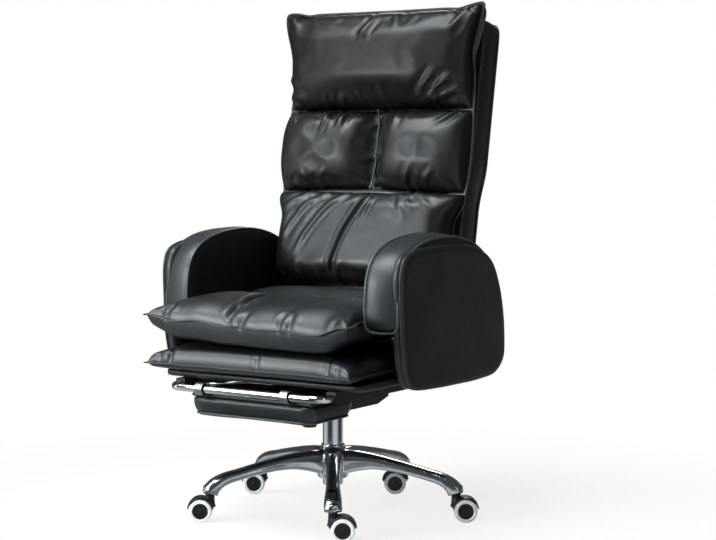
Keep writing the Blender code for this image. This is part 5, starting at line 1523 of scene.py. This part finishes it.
def pull_rod(finishes):
    """The thin bent rod that shows above the bar, clipped under the seat board."""
    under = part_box("seat_board")[0][2]
    rod = rope("pull_rod", smooth_path(((-0.142, -0.316, under - 0.0090),
                                        (-0.134, -0.330, under - 0.0062),
                                        (-0.105, -0.330, under - 0.0040),
                                        (-0.060, -0.312, under - 0.0022),
                                        (-0.040, -0.296, under - 0.0010)), 0.003),
               0.0019, finishes["chrome"])
    dress(rod, "seat", "chrome")


def strap_tongues(front, height, finishes):
    """Rounded plated straps round the bar, each with a tongue on the pad's board and a
    screw on top."""
    for side in ("left", "right"):
        low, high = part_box(f"footrest_strap_{side}")
        middle, half = (low[0] + high[0]) / 2, (high[0] - low[0]) / 2
        outer = height - low[2]
        inner = outer - 0.0025
        eye = lathe("eye", ((inner, -half), (outer - 0.0008, -half),
                            (outer, -half + 0.0008), (outer, half - 0.0008),
                            (outer - 0.0008, half), (inner, half), (inner, -half)),
                    (middle, front, height), (1, 0, 0), finishes["zinc"], 48)
        top, bottom = low[2] + 0.0025, low[2]
        rear = high[1]
        outline = [(middle - half, front), (middle + half, front),
                   (middle + half, rear - half * 0.8)]
        outline += [(middle + half * math.cos(a), rear - half * 0.8 + half * 0.8 * math.sin(a))
                    for a in np.linspace(0.2, math.pi - 0.2, 9)]
        outline += [(middle - half, rear - half * 0.8)]
        count = len(outline)
        corners = [(x, y, bottom) for x, y in outline] + [(x, y, top) for x, y in outline]
        faces = [tuple(range(count)), tuple(range(count, 2 * count))]
        faces += [(k, (k + 1) % count, count + (k + 1) % count, count + k)
                  for k in range(count)]
        tongue = mesh_piece("tongue", corners, faces, finishes["zinc"], smooth=False)
        strap = combine(f"footrest_strap_{side}_plated", [eye, tongue])
        dress(strap, "footrest_pad", "zinc_steel", f"footrest_strap_{side}")
    screws = bolts("footrest_strap_screws",
                   [(sign * 0.120, front, height + 0.0095 + 0.0029) for sign in (1, -1)],
                   (0, 0, 1), finishes["chrome"], 0.0032, 0.0016, 0.0045)
    dress(screws, "footrest_pad", "chrome")


def levers(finishes):
    """The lift lever with its handle, and the recline lever with its ribbed grip."""
    tip_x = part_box("lift_lever")[0][0]
    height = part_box("release_button")[1][2] + 0.0043
    route = ((0, 0, height), (-0.115, 0, height), (-0.225, -0.084, height + 0.0025),
             (-0.316, -0.084, height + 0.0048))
    bar = rope("bar", bent(route, 0.018), 0.004, finishes["chrome"], sides=20)
    handle = lever_handle((tip_x + 0.001, -0.084, height + 0.002), finishes["nylon"])
    lever = combine("lift_lever_chromed", [bar, handle])
    dress(lever, "lift_lever", "chrome", "lift_lever")

    pin_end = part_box("recline_shaft")[1][0]
    axis, elbow_x = Vector(RECLINE_AXIS), -0.262
    reach = Vector((0, 0.074, -0.052))
    elbow = Vector((elbow_x, 0, 0)) + axis
    route = (Vector((pin_end, 0, 0)) + axis, elbow, elbow + reach)
    bar = rope("recline_shaft_turned", bent(route, 0.012), 0.006, finishes["zinc"], sides=20)
    dress(bar, "recline_lever", "zinc_steel", "recline_shaft")
    direction = reach.normalized()
    tip = route[2] + direction * 0.0095
    profile = [(0.0062, -0.050), (0.0085, -0.0495), (0.0094, -0.0475)]
    for step in range(7):
        base = -0.045 + step * 0.006
        profile += [(0.0095, base), (0.0095, base + 0.0034), (0.0086, base + 0.0042),
                    (0.0086, base + 0.0052)]
    profile += [(0.0095, -0.0028), (0.0088, -0.0010), (0.0066, 0.0), (0.0, 0.0002)]
    grip = lathe("recline_grip_ribbed", profile, tip, direction, finishes["nylon"], 32)
    dress(grip, "recline_lever", "black_plastic", "recline_grip")


def lever_handle(end, finish):
    """The flat moulded handle at the outer end of the lift lever."""
    x, y, z = end
    length, width, thick = 0.062, 0.013, 0.0048
    stations = np.linspace(0, 1, 15)
    corners = []
    sides = 20
    for share in stations:
        half = width * (0.42 + 0.58 * math.sin(min(1, share * 1.9) * math.pi / 2))
        tall = thick
        if share > 0.86:
            close = math.sqrt(max(0.02, 1 - ((share - 0.86) / 0.145) ** 2))
            half, tall = half * close, tall * close
        sag = 0.010 * share ** 2
        for k in range(sides):
            a = math.tau * k / sides
            corners.append((x + length * (1 - share), y + half * boxy(math.cos(a), 0.7),
                            z - sag + tall * boxy(math.sin(a), 0.8)))
    return mesh_piece("handle", corners, ring_faces(len(stations), sides), finish)


def tension_knob(finishes):
    """The fluted knob under the tilt housing, and the spring that it loads."""
    low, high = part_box("tension_knob")
    x, y = (low[0] + high[0]) / 2, (low[1] + high[1]) / 2
    radius = (high[0] - low[0]) / 2
    bottom, top = low[2], low[2] + 0.019
    profile = ((0.0, bottom), (radius * 0.30, bottom), (radius * 0.34, bottom + 0.0012),
               (radius * 0.70, bottom + 0.0004), (radius * 0.82, bottom + 0.0008),
               (radius * 0.88, bottom + 0.0030), (radius * 0.96, bottom + 0.0090),
               (radius, bottom + 0.0140), (radius, top - 0.0010), (radius - 0.001, top),
               (0.0042, top), (0.0042, high[2]), (0.0, high[2]))
    knob = lathe("tension_knob_fluted", profile, (x, y, 0), (0, 0, 1), finishes["nylon"], 144,
                 12, 0.0022)
    dress(knob, "knob", "black_plastic", "tension_knob")
    low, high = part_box("tilt_spring")
    wire, coil_radius, turns, corners_a_turn = 0.0016, 0.0125, 4, 28
    coil = []
    for share in np.linspace(0, 1, turns * corners_a_turn + 1):
        a = math.tau * turns * share
        coil.append((coil_radius * math.cos(a), y + coil_radius * math.sin(a),
                     low[2] + wire + (high[2] - low[2] - 2 * wire) * share))
    spring = rope("tilt_spring_wound", coil, wire, finishes["zinc"], sides=12)
    dress(spring, "mechanism", "zinc_steel", "tilt_spring")


def gas_lift(finishes):
    """The chromed outer tube of the gas lift, and the cylinder that slides in it."""
    low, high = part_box("gas_column")
    bottom, top = low[2], high[2]
    column = lathe("gas_column_chromed",
                   ((0.0046, bottom + 0.003), (0.0046, bottom), (0.0225, bottom),
                    (0.0243, bottom + 0.0016), (0.0250, bottom + 0.004), (0.0250, top - 0.004),
                    (0.0247, top - 0.0012), (0.0238, top), (0.0232, top),
                    (0.0232, bottom + 0.003), (0.0046, bottom + 0.003)),
                   (0, 0, 0), (0, 0, 1), finishes["chrome"], 96)
    dress(column, "base", "chrome", "gas_column")
    low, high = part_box("gas_cylinder")
    cylinder = lathe("gas_cylinder_turned",
                     ((0.0056, low[2]), (0.0125, low[2]), (0.0140, low[2] + 0.0016),
                      (0.0140, high[2] - 0.0030), (0.0130, high[2]), (0.0056, high[2]),
                      (0.0056, high[2] - 0.0145), (0.0, high[2] - 0.0145)),
                     (0, 0, 0), (0, 0, 1), finishes["zinc"], 64)
    dress(cylinder, "mechanism", "zinc_steel", "gas_cylinder")


# Star base and castors
def star_base(finishes):
    """Five cast legs blended into a collared hub: a deep root, a slim arched middle, and
    an end that turns down to the castor."""
    stations = ((0.006, 0.1290, 0.062, 0.047), (0.035, 0.1300, 0.059, 0.046),
                (0.065, 0.1330, 0.050, 0.042), (0.105, 0.1330, 0.038, 0.037),
                (0.150, 0.1275, 0.031, 0.034), (0.200, 0.1180, 0.028, 0.033),
                (0.240, 0.1085, 0.027, 0.034), (0.264, 0.1030, 0.028, 0.036),
                (0.283, 0.0960, 0.030, 0.039), (0.297, 0.0870, 0.033, 0.042),
                (0.3060, 0.0770, 0.036, 0.043), (0.3100, 0.0670, 0.037, 0.042))
    line = smooth_path([(r, z) for r, z, _, _ in stations], 0.005)
    run = [0.0]
    for a, b in zip(stations[:-1], stations[1:]):
        run.append(run[-1] + math.hypot(b[0] - a[0], b[1] - a[1]))
    along = np.linspace(0, run[-1], len(line))
    deep = np.interp(along, run, [s[2] for s in stations])
    wide = np.interp(along, run, [s[3] for s in stations])
    ahead = unit(np.gradient(line, axis=0))
    sides = 28
    pieces = []
    for leg in range(5):
        angle = FIRST_LEG + math.tau * leg / 5
        out = np.array((math.cos(angle), math.sin(angle)))
        across = np.array((-out[1], out[0]))
        corners = []
        for (r, z), (dr, dz), tall, width in zip(line, ahead, deep, wide):
            for k in range(sides):
                a = math.tau * k / sides
                u = width / 2 * boxy(math.cos(a), 0.55)
                w = tall / 2 * boxy(math.sin(a), 0.60)
                u *= 1 - 0.22 * (w > 0) * (2 * w / tall) ** 2
                rr, zz = r - dz * w, z + dr * w
                corners.append((*(out * rr + across * u), zz))
        pieces.append(mesh_piece("leg", corners, ring_faces(len(line), sides),
                                 finishes["aluminium"]))
        x, y = out * CASTOR_REACH
        pieces.append(lathe("socket", ((0.0, 0.0672), (0.0150, 0.0672), (0.0165, 0.0690),
                                       (0.0165, 0.0860), (0.0, 0.0870)),
                            (x, y, 0), (0, 0, 1), finishes["aluminium"], 32))
    pieces.append(lathe("hub", ((0.0, 0.0885), (0.0340, 0.0885), (0.0375, 0.0920),
                                (0.0385, 0.1000), (0.0385, 0.1380), (0.0365, 0.1500),
                                (0.0325, 0.1590), (0.0300, 0.1640), (0.0290, 0.1680),
                                (0.0, 0.1680)),
                        (0, 0, 0), (0, 0, 1), finishes["aluminium"], 64))
    base = combine("star_base_cast", pieces)
    fused = base.modifiers.new("fused", "REMESH")
    fused.mode = "VOXEL"
    fused.voxel_size = 0.0019
    fused.use_smooth_shade = True
    fillet = base.modifiers.new("fillet", "SMOOTH")
    fillet.factor = 0.5
    fillet.iterations = 9
    settle(base)
    base.data.materials.clear()
    base.data.materials.append(finishes["aluminium"])
    base.data.shade_smooth()
    dress(base, "base", "polished_aluminium", "star_base")
    collar = lathe("hub_collar", ((0.0254, 0.1660), (0.0286, 0.1660), (0.0292, 0.1672),
                                  (0.0292, 0.1700), (0.0280, 0.1716), (0.0254, 0.1716)),
                   (0, 0, 0), (0, 0, 1), finishes["chrome"], 72)
    dress(collar, "base", "chrome")


def castor_boss(stem, trail, axle, height, finish):
    """The stem's socket, flaring down onto the curved top of the hood."""
    sides = 40
    rings = ((0.0102, 0.0665, 0.0), (0.0110, 0.0655, 0.0), (0.0110, 0.0615, 0.0),
             (0.0113, 0.0590, 0.3), (0.0122, 0.0560, 0.7), (0.0142, 0.0540, 1.0))
    corners = []
    for radius, level, share in rings:
        for k in range(sides):
            a = math.tau * k / sides
            along, aside = radius * math.cos(a), radius * math.sin(a)
            reach = along - CASTOR_TRAIL
            surface = height - 0.0015 + math.sqrt(max(0.0326 ** 2 - reach ** 2, 0.0001))
            place = stem + trail * along + axle * aside
            corners.append((*place, level * (1 - share) + surface * share))
    faces = ring_faces(len(rings), sides, end_cap=False)
    hub = len(corners)
    corners.append((*stem, 0.0500))
    last = (len(rings) - 1) * sides
    faces += [(last + k, last + (k + 1) % sides, hub) for k in range(sides)]
    boss = mesh_piece("boss", corners, faces, finish)
    boss.data.set_sharp_from_angle(angle=math.radians(50))
    return boss


def castor(number, finishes):
    """One twin-wheel castor: a domed hood and stem, and two turned wheels with a pale
    tread and a black centre disc."""
    angle = FIRST_LEG + math.tau * (number - 1) / 5
    heading = math.radians(34) + (0 if number < 3 else math.pi)
    stem = CASTOR_REACH * np.array((math.cos(angle), math.sin(angle)))
    trail = np.array((math.cos(heading), math.sin(heading)))
    axle = np.array((-trail[1], trail[0]))
    height = 0.028 * math.cos(math.pi / 16)
    centre = np.array((*(stem + trail * CASTOR_TRAIL), height))
    nylon = finishes["nylon"]
    half = ((-0.0232, 0.0293), (-0.0236, 0.0303), (-0.0230, 0.0315), (-0.0205, 0.0324),
            (-0.0120, 0.0330))
    section = (*half, (0.0, 0.0332), *((-aside, radius) for aside, radius in half[::-1]),
               (0.0120, 0.0296), (0.0, 0.0296), (-0.0120, 0.0296))
    corners = []
    turns = np.radians(np.linspace(12, 168, 40))
    for turn in turns:
        for aside, radius in section:
            level = trail * radius * math.cos(turn) + axle * aside
            corners.append(centre + (*level, radius * math.sin(turn)))
    fender = mesh_piece("fender", corners, ring_faces(len(turns), len(section)), nylon)
    fender.data.set_sharp_from_angle(angle=math.radians(50))
    web = lathe("web", ((0.0, -0.0038), (0.0272, -0.0038), (0.0276, -0.0030),
                        (0.0276, 0.0030), (0.0272, 0.0038), (0.0, 0.0038)),
                centre, (*axle, 0), nylon, 48)
    boss = castor_boss(stem, trail, axle, height, nylon)
    stem_pin = lathe("pin", ((0.0, 0.0640), (0.0055, 0.0640), (0.0055, 0.0680),
                             (0.0, 0.0680)), (*stem, 0), (0, 0, 1), nylon, 24)
    hood = combine(f"castor_{number}_hood_moulded", [fender, web, boss, stem_pin])
    dress(hood, f"castor_{number}", "black_plastic", f"castor_{number}_hood")
    inner, outer, rim = 0.0045, 0.0250, 0.0281
    for side, sign in (("left", 1), ("right", -1)):
        spindle = (*(axle * sign), 0)
        tread = lathe("tread", ((0.0190, inner), (0.0262, inner), (0.0276, inner + 0.0012),
                                (rim, inner + 0.0040), (rim, outer - 0.0055),
                                (0.0277, outer - 0.0030), (0.0264, outer - 0.0012),
                                (0.0240, outer), (0.0205, outer + 0.0001),
                                (0.0192, outer - 0.0007), (0.0188, outer - 0.0016),
                                (0.0186, outer - 0.0030)),
                      centre, spindle, finishes["tread"], 72)
        disc = lathe("disc", ((0.0, inner), (0.0190, inner), (0.0190, outer - 0.0030),
                              (0.0187, outer - 0.0018), (0.0178, outer - 0.0008),
                              (0.0150, outer - 0.0013), (0.0110, outer - 0.0020),
                              (0.0060, outer - 0.0024), (0.0056, outer - 0.0016),
                              (0.0046, outer - 0.0010), (0.0, outer - 0.0009)),
                     centre, spindle, nylon, 72)
        wheel = combine(f"castor_{number}_wheel_{side}_turned", [disc, tread])
        dress(wheel, f"castor_{number}_{side}", "black_plastic",
              f"castor_{number}_wheel_{side}")


# Bolts that hold the steel parts
def fixings(finishes):
    """Hexagon bolts and screws under the plates, brackets and rails, one row a name.
    Each row is the same on both sides of the chair."""
    plate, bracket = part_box("seat_plate"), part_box("arm_bracket_left")
    rail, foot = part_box("rail_left"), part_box("hinge_bracket_left")
    plate_under, bracket_inner = plate[1][2] - 0.004, bracket[0][0]
    large, medium, small = (0.006, 0.004, 0.0085), (0.0055, 0.004, 0.0085), (0.004, 0.0022, 0.0058)
    rows = (
        ("seat_plate_bolts", (plate[1][0] - 0.014,), (plate[0][1] + 0.016, plate[1][1] - 0.016),
         plate_under, "zinc", "zinc_steel", large),
        ("arm_bracket_bolts", (bracket_inner + 0.034, bracket_inner + 0.060),
         (bracket[0][1] + 0.020, bracket[1][1] - 0.020), bracket[0][2], "zinc", "zinc_steel",
         medium),
        ("rail_screws", ((rail[0][0] + rail[1][0]) / 2,), (-0.300, -0.130, 0.030), rail[0][2],
         "chrome", "chrome", small),
        ("hinge_bracket_bolts", (foot[0][0] + 0.020,), (0.078, 0.110), foot[0][2], "zinc",
         "zinc_steel", large),
    )
    for name, across, along, level, finish, slot, sizes in rows:
        places = [(sign * x, y, level) for x in across for sign in (1, -1) for y in along]
        row = bolts(name, places, (0, 0, -1), finishes[finish], *sizes)
        dress(row, "seat", slot)


finishes = make_finishes()
set_camera()
light_studio()
lay_floor()

upper_seat_cushion(finishes)
lower_seat_cushion(finishes)
lumbar_cushion(finishes)
shoulder_cushion(finishes)
head_cushion(finishes)
footrest_cushion(finishes)
for side, sign in (("left", 1), ("right", -1)):
    arm(side, sign, finishes)
back_shell(finishes)
board_covers(finishes)
bar_front, bar_height = footrest_bar(finishes)
strap_tongues(bar_front, bar_height, finishes)
pull_rod(finishes)
levers(finishes)
tension_knob(finishes)
gas_lift(finishes)
star_base(finishes)
for number in range(1, 6):
    castor(number, finishes)
fixings(finishes)

# Finishes of the CAD nodes that stay
kept = {"powder_coat": ("tilt_housing", "seat_plate", "rail_left", "rail_right",
                        "arm_bracket_left", "arm_bracket_right"),
        "zinc": ("thrust_bearing", "piston_rod", "rod_clip", "release_button",
                 "tilt_shaft", "hinge_bracket_left", "hinge_bracket_right",
                 "back_hinge_left", "back_hinge_right",
                 *(f"castor_{number}_stem" for number in range(1, 6))),
        "nylon": ("column_bush",)}
for finish, nodes in kept.items():
    for node in nodes:
        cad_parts[node].data.materials.clear()
        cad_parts[node].data.materials.append(finishes[finish])
